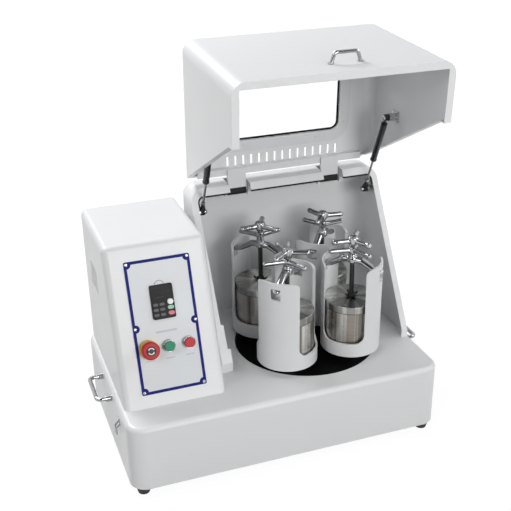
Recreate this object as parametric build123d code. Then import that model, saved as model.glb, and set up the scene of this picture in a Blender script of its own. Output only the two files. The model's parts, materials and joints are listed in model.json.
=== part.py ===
"""Planetary ball mill with an open hood, one solid or group of solids per named node.

Millimetres. The origin is the centre of the base's footprint on the table, +X to the right, -Y to the
front, +Z up. The hood is modelled shut and then swung open about its hinge, which is the rest position.
"""
from build123d import *
from math import atan2, cos, degrees, hypot, pi, radians, sin, tan
import os

os.makedirs("parts", exist_ok=True)

# Fits and sheet
SHEET = 2.0
SLOPE_SENSE = 0.1  # a face whose normal leans this much to the front counts as a front
RUN_FIT = 0.05  # radial play of a shaft in its bore
SLIDE_GAP = 0.4  # radial play of a button or stem in its bezel
FACE_GAP = 0.5  # between faces that pass each other
SCREW_HEAD_R = 3.6
SCREW_HEAD_H = 2.2
SCREW_R = 2.0

# What makes up the length, from the left end to the right end
BOX_INSET = 10.0
BOX_WIDTH = 232.0
BOX_CHAMBER_GAP = 14.0
CHAMBER_WIDTH = 486.0
CHAMBER_INSET = 8.0

# Base
BASE_LENGTH = BOX_INSET + BOX_WIDTH + BOX_CHAMBER_GAP + CHAMBER_WIDTH + CHAMBER_INSET
BASE_DEPTH = 470.0
BASE_RISE = 158.0
BASE_CORNER_R = 38.0
BASE_EDGE_R = 12.0
FOOT_HEIGHT = 22.0
FOOT_TOP_R = 19.0
FOOT_TIP_R = 13.0
FOOT_INSET_X = 28.0
FOOT_INSET_Y = 27.0
BOTTOM_PLATE = 3.0
DECK_Z = FOOT_HEIGHT + BASE_RISE

# Carry handles and the wire hook on the left end
CARRY_SPAN = 100.0
CARRY_REACH = 33.0
CARRY_BAR_R = 5.0
CARRY_FERRULE_R = 7.5
CARRY_FERRULE_LENGTH = 14.0
CARRY_BEND_R = 11.0
CARRY_DROP = 25.0
HOOK_Y = -128.0
HOOK_DROP = 42.0
HOOK_WIRE_R = 2.0
HOOK_BEND_R = 3.0
HOOK_SPAN = 13.0
HOOK_LENGTH = 26.0
HOOK_REACH = 9.0

# Control box
BOX_RISE = 340.0
BOX_FOOT_Y = -159.0
BOX_BACK_Y = 220.0
BOX_LEAN = 20.0  # degrees that the front leans back
BOX_EDGE_R = 14.0
LOUVRE_COUNT = 7
LOUVRE_LENGTH = 60.0
LOUVRE_WIDTH = 4.0
LOUVRE_PITCH = 11.0
LOUVRE_Y = 95.0
LOUVRE_RISE = 215.0

# Control panel, with places as (across, up the slope from the deck)
PLATE_WIDTH = 148.0
PLATE_HEIGHT = 297.0
PLATE_FOOT = 29.0
PLATE_THICK = 2.0
PLATE_CORNER_R = 4.0
PLATE_SCREW_INSET = 6.0
KEYPAD_WIDTH = 51.0
KEYPAD_HEIGHT = 76.0
KEYPAD_DEPTH = 6.0
KEYPAD_UP = 229.0
SCREEN_WIDTH = 38.8
SCREEN_HEIGHT = 15.2
SCREEN_UP = 22.8  # from the keypad's centre, as are the keys
SCREEN_DEPTH = 1.0
KEY_LENGTH = 11.2
KEY_WIDTH = 6.1
KEY_RISE = 1.0
KEY_COLUMNS = (-17.3, -2.6)
KEY_ROWS = (-5.3, -16.7, -28.1)
RUN_KEY_LENGTH = 13.8
RUN_KEY_WIDTH = 8.2
RUN_KEY_RISE = 1.5
RUN_KEY_ROWS = (-14.4, -26.6)
KNOB_ACROSS = 16.0
KNOB_UP = -1.7
KNOB_R = 6.5
KNOB_HEIGHT = 7.0
KNOB_WELL = 3.0
KNOB_STEM_R = 3.0
BUTTON_UP = 130.0
BUTTON_PITCH = 45.5
BEZEL_R = 14.0
BEZEL_HEIGHT = 9.0
CAP_R = 11.4
CAP_HEIGHT = 15.0
CAP_TRAVEL = 4.0
STOP_R = 20.0  # emergency stop head
STOP_HEIGHT = 31.0
STOP_HEAD = 10.0
STOP_HEAD_EDGE_R = 4.0
STOP_TRAVEL = 6.0
STOP_COLLAR_R = 20.5
STOP_COLLAR_HEIGHT = 14.0
STOP_STEM_R = 9.0
SWITCH_BODY_R = 11.0
SWITCH_BLOCK_R = 15.0
SWITCH_BLOCK_DEPTH = 38.0
INVERTER_WIDTH = 92.0
INVERTER_HEIGHT = 130.0
INVERTER_DEPTH = 85.0
INVERTER_FINS = 9
FIN_SLOT_DEPTH = 24.0
FIN_SLOT_WIDTH = 4.0

# Grinding chamber
CHAMBER_RISE = 381.0
CHAMBER_BACK_Y = 214.0
CHAMBER_EDGE_R = 30.0
RIM_FOOT_Y = -81.0
RIM_KNEE = 23.0
RIM_SLOPE = 59.3  # degrees above the deck
RIM_WIDTH = 16.0
RIM_EDGE_R = 4.0
LEDGE_DROP = 16.5  # from the chamber's top to the opening's top edge
SEAL_SIZE = 3.5
SEAL_DEPTH = 6.0
SEAL_REACH = 24.0  # how far the seal runs down from the opening's top edge
INTERLOCK_RISE = 100.0
INTERLOCK_WIDTH = 13.0
INTERLOCK_FOOT_RISE = 50.0
INTERLOCK_THICK = 3.0

# Hood
HOOD_GAP = 4.0
HOOD_STEP = 12.0  # how far the shut hood's roof lies below the chamber's top
HOOD_FRONT_Y = -218.0
HOOD_EDGE_R = 30.0
OPEN_ANGLE = 87.0
HINGE_BACK = 39.5  # from the shut hood's rear edge
HINGE_DROP = 15.0
HINGE_OFFSET = 4.0  # of the middle of the two hinges from the chamber's middle
HINGE_SPREAD = 243.0
HINGE_PIN_R = 5.0
HINGE_BARREL_R = 10.0
ARM_WIDTH = 46.0
ARM_THICK = 7.0
ARM_LENGTH = 58.0
ARM_BACK = 3.0  # from the pin's axis to the near face of the arm
LUG_THICK = 6.0
LUG_GAP = 3.0
LUG_REACH = 14.0
NOTCH_REACH = 20.0  # behind the pin's axis
ARM_FOOT = 10.0
RAIL_HEIGHT = 17.0
RAIL_DEPTH = 14.0
WINDOW_OFFSET = 1.0
WINDOW_WIDTH = 302.0
WINDOW_DEPTH = 190.0
WINDOW_BACK = 83.0  # from the hood's rear edge to the opening
WINDOW_CORNER_R = 20.0
WINDOW_SEAL = 4.0
PANE_THICK = 5.0
PANE_LAP = 10.0
RETAINER_BORDER = 28.0
RETAINER_LIP = 1.5
RETAINER_SCREW_X = 92.0  # from the window's centre
RETAINER_SCREW_Y = 78.0
VENT_COUNT = 15
VENT_PITCH = 20.2
VENT_WIDTH = 5.0
VENT_LENGTH = 24.0
VENT_BACK = 19.5
VENT_OFFSET = 7.5
GRIP_OFFSET = 20.0
GRIP_RISE = 59.0
GRIP_SPAN = 66.0
GRIP_TOP_SPAN = 50.0
GRIP_REACH = 23.0
GRIP_BAR_R = 4.0
GRIP_FOOT_R = 6.5
GRIP_FOOT_H = 3.0

# Gas struts, with pivots as (y, z) in the open position
STRUT_INSET = 29.0  # from the chamber's outer side to the strut's axis
STRUT_FOOT = (128.0, 503.0)
STRUT_HEAD = (31.0, 713.0)
STRUT_TUBE_R = 7.5
STRUT_TUBE_BORE = 5.5
STRUT_TUBE_LENGTH = 113.0
STRUT_NECK = 18.0
STRUT_GLAND = 10.0
STRUT_ROD_R = 3.0
STRUT_ROD_LENGTH = 146.0
STRUT_PISTON = 6.0
STRUT_EYE_R = 8.0
STRUT_EYE_WIDTH = 10.0
STUD_R = 4.0
STUD_PLATE = 4.0
STUD_PLATE_SIZE = 26.0
STUD_COLLAR_R = 9.0

# Turntable, stations and gears
ORBIT_R = 117.0
ORBIT_START = 136.6  # degrees, the rear left station
STATIONS = 4
TABLE_R = 171.0
TABLE_THICK = 12.0
TABLE_DROP = 2.0  # below the deck
TABLE_GAP = 3.0
TABLE_BOSS_R = 35.0
TABLE_BOSS = 6.0
SPINDLE_R = 18.0
SPINDLE_FLANGE_R = 45.0
SPINDLE_FLANGE_RISE = 15.0  # its top above the deck
GEAR_THICK = 18.0
GEAR_GAP = 4.0
TEETH = 39
TOOTH_SHARE = 0.43  # of the pitch, measured on the pitch circle
ADDENDUM = 0.8
DEDENDUM = 1.15
TOOTH_FLANK = 20.0
GEAR_MODULE = ORBIT_R / TEETH
SHAFT_R = 20.0
SHAFT_FLANGE_R = 48.0
SHAFT_FOOT_Z = 44.0
HOUSING_R = 45.0
HOUSING_LENGTH = 54.0
BEARING_R = 31.0
BEARING_WIDTH = 15.0
CARRIER_WIDTH = 200.0
CARRIER_THICK = 8.0
CARRIER_POST_R = 10.0
CARRIER_POST_INSET = 32.0
PULLEY_Z = 64.0
PULLEY_WIDTH = 24.0
MAIN_PULLEY_R = 110.0
MOTOR_PULLEY_R = 40.0
BELT_WIDTH = 13.0
BELT_DEPTH = 8.0
BELT_GAP = 0.4
MOTOR_Y = 95.0
MOTOR_R = 70.0
MOTOR_RISE = 215.0
MOTOR_FLANGE = 160.0
MOTOR_FLANGE_THICK = 10.0
MOTOR_FINS = 24
MOTOR_FIN = 6.0
MOTOR_SHAFT_R = 12.0

# Jar holders, jars and clamps
HOLDER_R = 71.5
HOLDER_WALL = 5.0
HOLDER_FLOOR = 8.0
HOLDER_RISE = 223.0
WINDOW_ANGLE = 90.0
HOLDER_SILL = 34.0
HOLDER_SILL_R = 20.0
HOLDER_HORN_R = 12.0
NOTCH_WIDTH = 24.0
NOTCH_HEIGHT = 28.0
NOTCH_BELOW_TOP = 14.0
JAR_R = 63.5
JAR_HEIGHT = 102.0
JAR_WALL = 6.0
JAR_FLOOR = 8.0
JAR_LID_THICK = 18.0
JAR_SPIGOT = 5.0
JAR_SPIGOT_GAP = 0.4
YOKE_WIDTH = 20.0
YOKE_THICK = 11.0
YOKE_ARCH = 21.0
YOKE_BOSS_R = 14.0
YOKE_BOSS_H = 20.0
YOKE_FLAT = 22.4  # half the length of the arch's level top
YOKE_DROP = 8.0  # how far the crossbar runs down the screw
CLAMP_SCREW_R = 6.0
CLAMP_SCREW_PLAY = 0.35
CLAMP_FOOT_R = 18.0
CLAMP_FOOT_H = 9.0
STAR_ARMS = 3
STAR_ARM_R = 5.0
TOP_STAR_REACH = 50.0
TOP_STAR_RISE = 143.0  # of the arms, above the jar lid
TOP_STAR_HUB_R = 12.5
TOP_STAR_HUB_H = 22.0
LOCK_STAR_REACH = 56.0
LOCK_STAR_HUB_R = 12.0
LOCK_STAR_HUB_H = 17.0
TOP_STAR_TURN = (64.0, 97.0, 55.0, 111.0)  # where each star was left
LOCK_STAR_TURN = (13.0, 55.0, 50.0, 5.0)

# Places worked out from the sizes above
BOX_LEFT = -BASE_LENGTH / 2 + BOX_INSET
BOX_RIGHT = BOX_LEFT + BOX_WIDTH
BOX_CENTRE_X = (BOX_LEFT + BOX_RIGHT) / 2
BOX_TOP = DECK_Z + BOX_RISE
CHAMBER_LEFT = BOX_RIGHT + BOX_CHAMBER_GAP
CHAMBER_RIGHT = CHAMBER_LEFT + CHAMBER_WIDTH
CHAMBER_X = (CHAMBER_LEFT + CHAMBER_RIGHT) / 2
CHAMBER_TOP = DECK_Z + CHAMBER_RISE
RIM_TOP_Y = RIM_FOOT_Y + (CHAMBER_RISE - RIM_KNEE) / tan(radians(RIM_SLOPE))
LEDGE_Z = CHAMBER_TOP - LEDGE_DROP
HOOD_TOP = CHAMBER_TOP - HOOD_STEP
HOOD_REAR_Y = RIM_FOOT_Y - HOOD_GAP + (HOOD_TOP - DECK_Z - RIM_KNEE) / tan(radians(RIM_SLOPE))
HINGE_CENTRE_X = CHAMBER_X + HINGE_OFFSET
HINGE_Y = HOOD_REAR_Y + HINGE_BACK
HINGE_Z = HOOD_TOP - HINGE_DROP
HINGE_XS = (HINGE_CENTRE_X - HINGE_SPREAD / 2, HINGE_CENTRE_X + HINGE_SPREAD / 2)
HINGE_AXIS = Axis((0, HINGE_Y, HINGE_Z), (1, 0, 0))
HOOD_FOOT_Z = DECK_Z + HOOD_GAP
WINDOW_CENTRE_X = CHAMBER_X + WINDOW_OFFSET
VENT_CENTRE_X = CHAMBER_X + VENT_OFFSET
GRIP_X = CHAMBER_X + GRIP_OFFSET
ARM_CLEAR = ARM_WIDTH / 2 + LUG_GAP
TABLE_TOP = DECK_Z - TABLE_DROP
TABLE_FOOT = TABLE_TOP - TABLE_THICK
BOSS_FOOT = TABLE_FOOT - TABLE_BOSS
GEAR_TOP = BOSS_FOOT - GEAR_GAP
GEAR_FOOT = GEAR_TOP - GEAR_THICK
PITCH_R = GEAR_MODULE * TEETH / 2
SEAT_Z = DECK_Z + SPINDLE_FLANGE_RISE
HOLDER_TOP = SEAT_Z + HOLDER_RISE
JAR_Z = SEAT_Z + HOLDER_FLOOR
LID_Z = JAR_Z + JAR_HEIGHT
LID_TOP = LID_Z + JAR_LID_THICK
NOTCH_TOP = HOLDER_TOP - NOTCH_BELOW_TOP
YOKE_TOP = NOTCH_TOP + YOKE_ARCH
STRUT_XS = (CHAMBER_LEFT + STRUT_INSET, CHAMBER_RIGHT - STRUT_INSET)
STRUT_LENGTH = hypot(STRUT_HEAD[0] - STRUT_FOOT[0], STRUT_HEAD[1] - STRUT_FOOT[1])
STRUT_ANGLE = degrees(atan2(STRUT_HEAD[1] - STRUT_FOOT[1], STRUT_HEAD[0] - STRUT_FOOT[0]))
PANEL = Plane(
    origin=(BOX_CENTRE_X, BOX_FOOT_Y, DECK_Z),
    x_dir=(1, 0, 0),
    z_dir=(0, -cos(radians(BOX_LEAN)), sin(radians(BOX_LEAN))),
)


def block(x, y, z):
    """A box from three (low, high) pairs."""
    middle = Pos((x[0] + x[1]) / 2, (y[0] + y[1]) / 2, (z[0] + z[1]) / 2)
    return middle * Box(x[1] - x[0], y[1] - y[0], z[1] - z[0])


def upright(x, y, z, radius):
    """A cylinder along Z between the two heights in z."""
    return Pos(x, y, (z[0] + z[1]) / 2) * Cylinder(radius, z[1] - z[0])


def crosswise(x, y, z, radius):
    """A cylinder along X between the two places in x."""
    return Pos((x[0] + x[1]) / 2, y, z) * Rot(0, 90, 0) * Cylinder(radius, x[1] - x[0])


def prism(points, x, radii=()):
    """A (y, z) outline drawn out along X, with corners rounded where radii gives (point, radius)."""
    face = make_face(Polyline(*points, close=True))
    for point, radius in radii:
        corner = min(face.vertices(), key=lambda v: hypot(v.X - point[0], v.Y - point[1]))
        face = fillet(corner, radius)
    return extrude(Plane.YZ.offset(x[0]) * face, x[1] - x[0])


def swung(shape):
    """The shut position turned to the open one."""
    return shape.rotate(HINGE_AXIS, -OPEN_ANGLE)


def on_panel(across, up, out, shape):
    """A shape placed on the leaning front, out from its surface."""
    return PANEL.location * Pos(across, up, out) * shape


def panel_pin(across, up, out, radius):
    """A cylinder square to the leaning front between the two distances in out."""
    return on_panel(across, up, (out[0] + out[1]) / 2, Cylinder(radius, out[1] - out[0]))


def bar(points, radius, bend):
    """A round bar along a path with bends."""
    path = FilletPolyline(*points, radius=bend)
    start = Vector(*points[0])
    along = Vector(*points[1]) - start
    return sweep(Plane(origin=start, z_dir=along) * Circle(radius), path)


def bent_handle(points, radius, bend, ferrule_r, ferrule_length):
    """A round handle with a ferrule over each end."""
    shape = bar(points, radius, bend)
    for end, inner in ((points[0], points[1]), (points[-1], points[-2])):
        start = Vector(*end)
        plane = Plane(origin=start, z_dir=Vector(*inner) - start)
        shape += extrude(plane * Circle(ferrule_r), ferrule_length)
    return shape


def rim_line(shift, z):
    """The y of the rim line at a height, moved forward by shift."""
    return RIM_FOOT_Y - shift + max(0.0, z - DECK_Z - RIM_KNEE) / tan(radians(RIM_SLOPE))


# ---------------------------------------------------------------- base


def rounded_tray(margin, foot, top):
    """The base's outline moved in by margin, between two heights, with a soft top edge."""
    shape = Pos(0, 0, (foot + top) / 2) * Box(BASE_LENGTH - 2 * margin, BASE_DEPTH - 2 * margin, top - foot)
    shape = fillet(shape.edges().filter_by(Axis.Z), BASE_CORNER_R - margin)
    return fillet(shape.faces().sort_by(Axis.Z)[-1].edges(), BASE_EDGE_R - margin)


def base_shell():
    shell = rounded_tray(0, FOOT_HEIGHT, DECK_Z) - rounded_tray(SHEET, FOOT_HEIGHT - SHEET, DECK_Z - SHEET)
    shell -= upright(CHAMBER_X, 0, (TABLE_FOOT, DECK_Z + SHEET), TABLE_R + TABLE_GAP)
    shell -= upright(BOX_CENTRE_X, MOTOR_Y, (TABLE_FOOT, DECK_Z + SHEET), MOTOR_SHAFT_R * 2)
    return shell


def base_bottom_plate():
    foot = FOOT_HEIGHT
    plate = Pos(0, 0, foot + BOTTOM_PLATE / 2) * Box(
        BASE_LENGTH - 2 * (SHEET + FACE_GAP), BASE_DEPTH - 2 * (SHEET + FACE_GAP), BOTTOM_PLATE
    )
    plate = fillet(plate.edges().filter_by(Axis.Z), BASE_CORNER_R - SHEET - FACE_GAP)
    for row in range(LOUVRE_COUNT):
        y = MOTOR_Y + (row - (LOUVRE_COUNT - 1) / 2) * LOUVRE_PITCH
        slot = SlotOverall(LOUVRE_LENGTH, LOUVRE_WIDTH)
        plate -= Pos(BOX_CENTRE_X, y, foot) * extrude(slot, BOTTOM_PLATE)
    return plate


def base_feet():
    x = BASE_LENGTH / 2 - FOOT_INSET_X
    y = BASE_DEPTH / 2 - FOOT_INSET_Y
    foot = Pos(0, 0, FOOT_HEIGHT / 2) * Cone(FOOT_TIP_R, FOOT_TOP_R, FOOT_HEIGHT)
    return Compound([Pos(sx * x, sy * y, 0) * foot for sx in (-1, 1) for sy in (-1, 1)])


def carry_handles():
    z = DECK_Z - CARRY_DROP
    handles = []
    for side in (-1, 1):
        wall = side * BASE_LENGTH / 2
        out = wall + side * CARRY_REACH
        half = CARRY_SPAN / 2
        path = [(wall, half, z), (out, half, z), (out, -half, z), (wall, -half, z)]
        handles.append(bent_handle(path, CARRY_BAR_R, CARRY_BEND_R, CARRY_FERRULE_R, CARRY_FERRULE_LENGTH))
    return Compound(handles)


def side_hook():
    """A U of wire that stands off the left end, open at the top, under its screw."""
    wall = -BASE_LENGTH / 2
    out = wall - HOOK_REACH
    top = DECK_Z - HOOK_DROP
    foot = top - HOOK_LENGTH
    half = HOOK_SPAN / 2
    path = [(wall, HOOK_Y + half, top), (out, HOOK_Y + half, top - HOOK_REACH), (out, HOOK_Y + half, foot)]
    path += [(out, HOOK_Y - half, foot), (out, HOOK_Y - half, top - HOOK_REACH), (wall, HOOK_Y - half, top)]
    hook = bar(path, HOOK_WIRE_R, HOOK_BEND_R)
    hook += crosswise((wall - SCREW_HEAD_H, wall), HOOK_Y, top + HOOK_SPAN / 2, SCREW_HEAD_R)
    hook += block((wall - SHEET / 2, wall), (HOOK_Y - half, HOOK_Y + half), (top - half, top + HOOK_SPAN))
    across = (HOOK_Y - HOOK_SPAN, HOOK_Y + HOOK_SPAN)
    inside = block((wall, wall + HOOK_REACH), across, (foot, top + HOOK_SPAN))
    return hook - inside


# ---------------------------------------------------------------- control box


def box_body(margin, foot):
    """The control box's outline moved in by margin."""
    lean = tan(radians(BOX_LEAN))
    slant = margin / cos(radians(BOX_LEAN))
    top = BOX_TOP - margin
    points = [
        (BOX_FOOT_Y + slant + (foot - DECK_Z) * lean, foot),
        (BOX_FOOT_Y + slant + (top - DECK_Z) * lean, top),
        (BOX_BACK_Y - margin, top),
        (BOX_BACK_Y - margin, foot),
    ]
    shape = prism(points, (BOX_LEFT + margin, BOX_RIGHT - margin))
    foot_face = shape.faces().sort_by(Axis.Z)[0]
    soft = [edge for edge in shape.edges() if edge not in foot_face.edges()]
    return fillet(soft, BOX_EDGE_R - margin)


def control_box_shell():
    shell = box_body(0, DECK_Z) - box_body(SHEET, DECK_Z - SHEET)
    for row in range(LOUVRE_COUNT):
        slot = Rot(0, 90, 0) * extrude(SlotOverall(LOUVRE_LENGTH, LOUVRE_WIDTH), 4 * SHEET, both=True)
        z = DECK_Z + LOUVRE_RISE
        y = LOUVRE_Y + (row - (LOUVRE_COUNT - 1) / 2) * LOUVRE_PITCH
        shell -= Pos(BOX_LEFT, y, z) * slot
    return shell - panel_openings()


def panel_openings():
    """What is cut through the box's front and through the plate on it."""
    through = (-4 * SHEET, PLATE_THICK + SHEET)
    cut = panel_pin(-BUTTON_PITCH, BUTTON_UP, through, SWITCH_BODY_R)
    cut += panel_pin(0, BUTTON_UP, through, SWITCH_BODY_R)
    cut += panel_pin(BUTTON_PITCH, BUTTON_UP, through, SWITCH_BODY_R)
    cut += panel_pin(KNOB_ACROSS, KEYPAD_UP + KNOB_UP, through, KNOB_STEM_R + SLIDE_GAP)
    return cut


def screw_places():
    across = PLATE_WIDTH / 2 - PLATE_SCREW_INSET
    for up in (PLATE_SCREW_INSET, PLATE_HEIGHT / 2, PLATE_HEIGHT - PLATE_SCREW_INSET):
        for side in (-1, 1):
            yield side * across, PLATE_FOOT + up


def control_panel_plate():
    plate = extrude(RectangleRounded(PLATE_WIDTH, PLATE_HEIGHT, PLATE_CORNER_R), PLATE_THICK)
    plate = on_panel(0, PLATE_FOOT + PLATE_HEIGHT / 2, 0, plate) - panel_openings()
    for across, up in screw_places():
        plate -= panel_pin(across, up, (-SHEET, PLATE_THICK + SHEET), SCREW_R)
    return plate


def panel_screws():
    screws = []
    for across, up in screw_places():
        screw = panel_pin(across, up, (PLATE_THICK, PLATE_THICK + SCREW_HEAD_H), SCREW_HEAD_R)
        screws.append(screw + panel_pin(across, up, (0, PLATE_THICK), SCREW_R))
    return Compound(screws)


def keypad():
    case = Box(KEYPAD_WIDTH, KEYPAD_HEIGHT, KEYPAD_DEPTH)
    case = fillet(case.edges().filter_by(Axis.Z), PLATE_CORNER_R)
    case = fillet(case.faces().sort_by(Axis.Z)[-1].edges(), SHEET / 2)
    top = KEYPAD_DEPTH / 2
    case -= Pos(0, SCREEN_UP, top) * Box(SCREEN_WIDTH, SCREEN_HEIGHT, 2 * SCREEN_DEPTH)
    key = extrude(SlotOverall(KEY_LENGTH, KEY_WIDTH), KEY_RISE)
    for y in KEY_ROWS:
        for x in KEY_COLUMNS:
            case += Pos(x, y, top) * key
    run_key = extrude(SlotOverall(RUN_KEY_LENGTH, RUN_KEY_WIDTH), RUN_KEY_RISE)
    for y in RUN_KEY_ROWS:
        case += Pos(KNOB_ACROSS, y, top) * run_key
    well = Pos(KNOB_ACROSS, KNOB_UP, top - KNOB_WELL / 2) * Cylinder(KNOB_R + SLIDE_GAP, KNOB_WELL)
    stem = Pos(KNOB_ACROSS, KNOB_UP, 0) * Cylinder(KNOB_STEM_R + SLIDE_GAP, 2 * KEYPAD_DEPTH)
    case = case - well - stem
    return on_panel(0, KEYPAD_UP, PLATE_THICK + top, case)


def speed_knob():
    seat = PLATE_THICK + KEYPAD_DEPTH - KNOB_WELL
    knob = panel_pin(KNOB_ACROSS, KEYPAD_UP + KNOB_UP, (seat, seat + KNOB_HEIGHT), KNOB_R)
    knob = fillet(knob.edges().filter_by(GeomType.CIRCLE).sort_by(Axis.Z)[-1], SHEET / 2)
    knob += panel_pin(KNOB_ACROSS, KEYPAD_UP + KNOB_UP, (-SHEET, seat), KNOB_STEM_R)
    groove = Box(SHEET / 2, KNOB_R, SHEET / 2)
    mark = on_panel(KNOB_ACROSS, KEYPAD_UP + KNOB_UP + KNOB_R / 2, seat + KNOB_HEIGHT, groove)
    return knob - mark


def switch_body(across, radius, height, bore):
    """A bezel in front of the panel, with its barrel and contact block behind."""
    front = (PLATE_THICK, PLATE_THICK + height)
    back = (-SHEET - SWITCH_BLOCK_DEPTH, -SHEET)
    body = panel_pin(across, BUTTON_UP, front, radius)
    body = fillet(body.edges().filter_by(GeomType.CIRCLE).sort_by(Axis.Z)[-1], SHEET)
    body += panel_pin(across, BUTTON_UP, (back[1], front[0]), SWITCH_BODY_R)
    body += panel_pin(across, BUTTON_UP, back, SWITCH_BLOCK_R)
    return body - panel_pin(across, BUTTON_UP, (-SWITCH_BLOCK_DEPTH / 2, front[1] + SHEET), bore)


def control_collars():
    """The collar of the emergency stop and the bezels of the two push buttons."""
    stem = STOP_STEM_R + SLIDE_GAP
    collars = [switch_body(-BUTTON_PITCH, STOP_COLLAR_R, STOP_COLLAR_HEIGHT, stem)]
    for across in (0, BUTTON_PITCH):
        bezel = switch_body(across, BEZEL_R, BEZEL_HEIGHT, STOP_STEM_R + SLIDE_GAP)
        well = (PLATE_THICK + SHEET / 2, PLATE_THICK + BEZEL_HEIGHT + SHEET)
        collars.append(bezel - panel_pin(across, BUTTON_UP, well, CAP_R + SLIDE_GAP))
    return Compound(collars)


def push_button(across):
    under = PLATE_THICK + SHEET / 2 + CAP_TRAVEL + FACE_GAP
    cap = panel_pin(across, BUTTON_UP, (under, PLATE_THICK + CAP_HEIGHT), CAP_R)
    cap = fillet(cap.edges().filter_by(GeomType.CIRCLE).sort_by(Axis.Z)[-1], SHEET / 2)
    depth = -SWITCH_BLOCK_DEPTH / 2 + CAP_TRAVEL + FACE_GAP
    return cap + panel_pin(across, BUTTON_UP, (depth, under), STOP_STEM_R)


def estop_head():
    top = PLATE_THICK + STOP_HEIGHT
    head = panel_pin(-BUTTON_PITCH, BUTTON_UP, (top - STOP_HEAD, top), STOP_R)
    head = fillet(head.edges().filter_by(GeomType.CIRCLE).sort_by(Axis.Z)[-1], STOP_HEAD_EDGE_R)
    depth = -SWITCH_BLOCK_DEPTH / 2 + STOP_TRAVEL + FACE_GAP
    return head + panel_pin(-BUTTON_PITCH, BUTTON_UP, (depth, top - STOP_HEAD), STOP_STEM_R)


def inverter_drive():
    drive = Box(INVERTER_WIDTH, INVERTER_HEIGHT, INVERTER_DEPTH)
    drive = fillet(drive.edges().filter_by(Axis.Z), SHEET)
    pitch = INVERTER_WIDTH / (INVERTER_FINS + 1)
    for fin in range(INVERTER_FINS):
        x = (fin - (INVERTER_FINS - 1) / 2) * pitch
        drive -= Pos(x, 0, -INVERTER_DEPTH / 2) * Box(FIN_SLOT_WIDTH, INVERTER_HEIGHT, 2 * FIN_SLOT_DEPTH)
    drive -= Pos(KNOB_ACROSS, KNOB_UP, INVERTER_DEPTH / 2) * Cylinder(KNOB_STEM_R + SLIDE_GAP, 2 * SHEET)
    return on_panel(0, KEYPAD_UP, -SHEET - INVERTER_DEPTH / 2, drive)


# ---------------------------------------------------------------- grinding chamber


def chamber_body(margin, foot):
    """The chamber's outline moved in by margin, with its sloping front and rounded sides."""
    top = CHAMBER_TOP - margin
    back = CHAMBER_BACK_Y - margin
    slant = margin / sin(radians(RIM_SLOPE))
    knee = (RIM_FOOT_Y + margin, DECK_Z + RIM_KNEE)
    points = [(RIM_FOOT_Y + margin, foot), knee, (rim_line(-slant, top), top), (back, top), (back, foot)]
    shape = prism(points, (CHAMBER_LEFT + margin, CHAMBER_RIGHT - margin))
    roof = shape.faces().sort_by(Axis.Z)[-1]
    rear = shape.faces().sort_by(Axis.Y)[-1]
    round_edges = roof.edges().filter_by(Axis.Y) + roof.edges().filter_by(Axis.X).sort_by(Axis.Y)[-1:]
    round_edges += rear.edges().filter_by(Axis.Z)
    shape = fillet(round_edges, CHAMBER_EDGE_R - margin)
    front = [face for face in shape.faces() if face.normal_at().Y < -SLOPE_SENSE]
    sharp = [edge for face in front for edge in face.edges() if edge.center().Z > DECK_Z + RIM_KNEE + SHEET]
    return fillet(sharp, RIM_EDGE_R - margin)


def chamber_mouth(inset):
    """The opening through the sloping front, moved in by inset, as it looks from the front."""
    sides = (CHAMBER_LEFT + RIM_WIDTH + inset, CHAMBER_RIGHT - RIM_WIDTH - inset)
    shape = block(sides, (HOOD_FRONT_Y, RIM_TOP_Y + RIM_WIDTH), (DECK_Z - SHEET, LEDGE_Z - inset))
    top = shape.faces().sort_by(Axis.Z)[-1]
    return fillet(top.edges().filter_by(Axis.Y), CHAMBER_EDGE_R - RIM_WIDTH - inset)


def hinge_notch(x, z):
    """The way for a hinge arm through the chamber's front and top, between the two heights in z."""
    return block((x - ARM_CLEAR, x + ARM_CLEAR), (RIM_FOOT_Y, HINGE_Y + NOTCH_REACH), z)


def hinge_lug(x, side):
    """A lug beside a hinge arm, hung from the chamber's top sheet."""
    near = x + side * ARM_CLEAR
    span = sorted((near, near + side * LUG_THICK))
    foot = HINGE_Z - HINGE_BARREL_R
    lug = block(span, (HINGE_Y - LUG_REACH, HINGE_Y + LUG_REACH), (foot, CHAMBER_TOP - SHEET / 2))
    return lug - crosswise((near - LUG_THICK, near + LUG_THICK), HINGE_Y, HINGE_Z, HINGE_PIN_R)


def chamber_shell():
    shell = chamber_body(0, DECK_Z) - chamber_body(SHEET, DECK_Z - SHEET) - chamber_mouth(0)
    for x in HINGE_XS:
        shell -= hinge_notch(x, (LEDGE_Z - SHEET, CHAMBER_TOP + SHEET))
        for side in (-1, 1):
            shell += hinge_lug(x, side)
    return shell


def chamber_seal():
    """A rubber edge round the top of the opening, broken where the hinge arms pass."""
    foot = LEDGE_Z - SEAL_REACH
    top = LEDGE_Z + SHEET
    slab = [(rim_line(0, foot), foot), (rim_line(0, top), top)]
    slab += [(rim_line(-SEAL_DEPTH, top), top), (rim_line(-SEAL_DEPTH, foot), foot)]
    seal = chamber_mouth(0) - chamber_mouth(SEAL_SIZE)
    seal &= prism(slab, (CHAMBER_LEFT, CHAMBER_RIGHT))
    for x in HINGE_XS:
        seal -= hinge_notch(x, (LEDGE_Z - 2 * SEAL_SIZE, top))
    return Compound(seal.solids())


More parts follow.
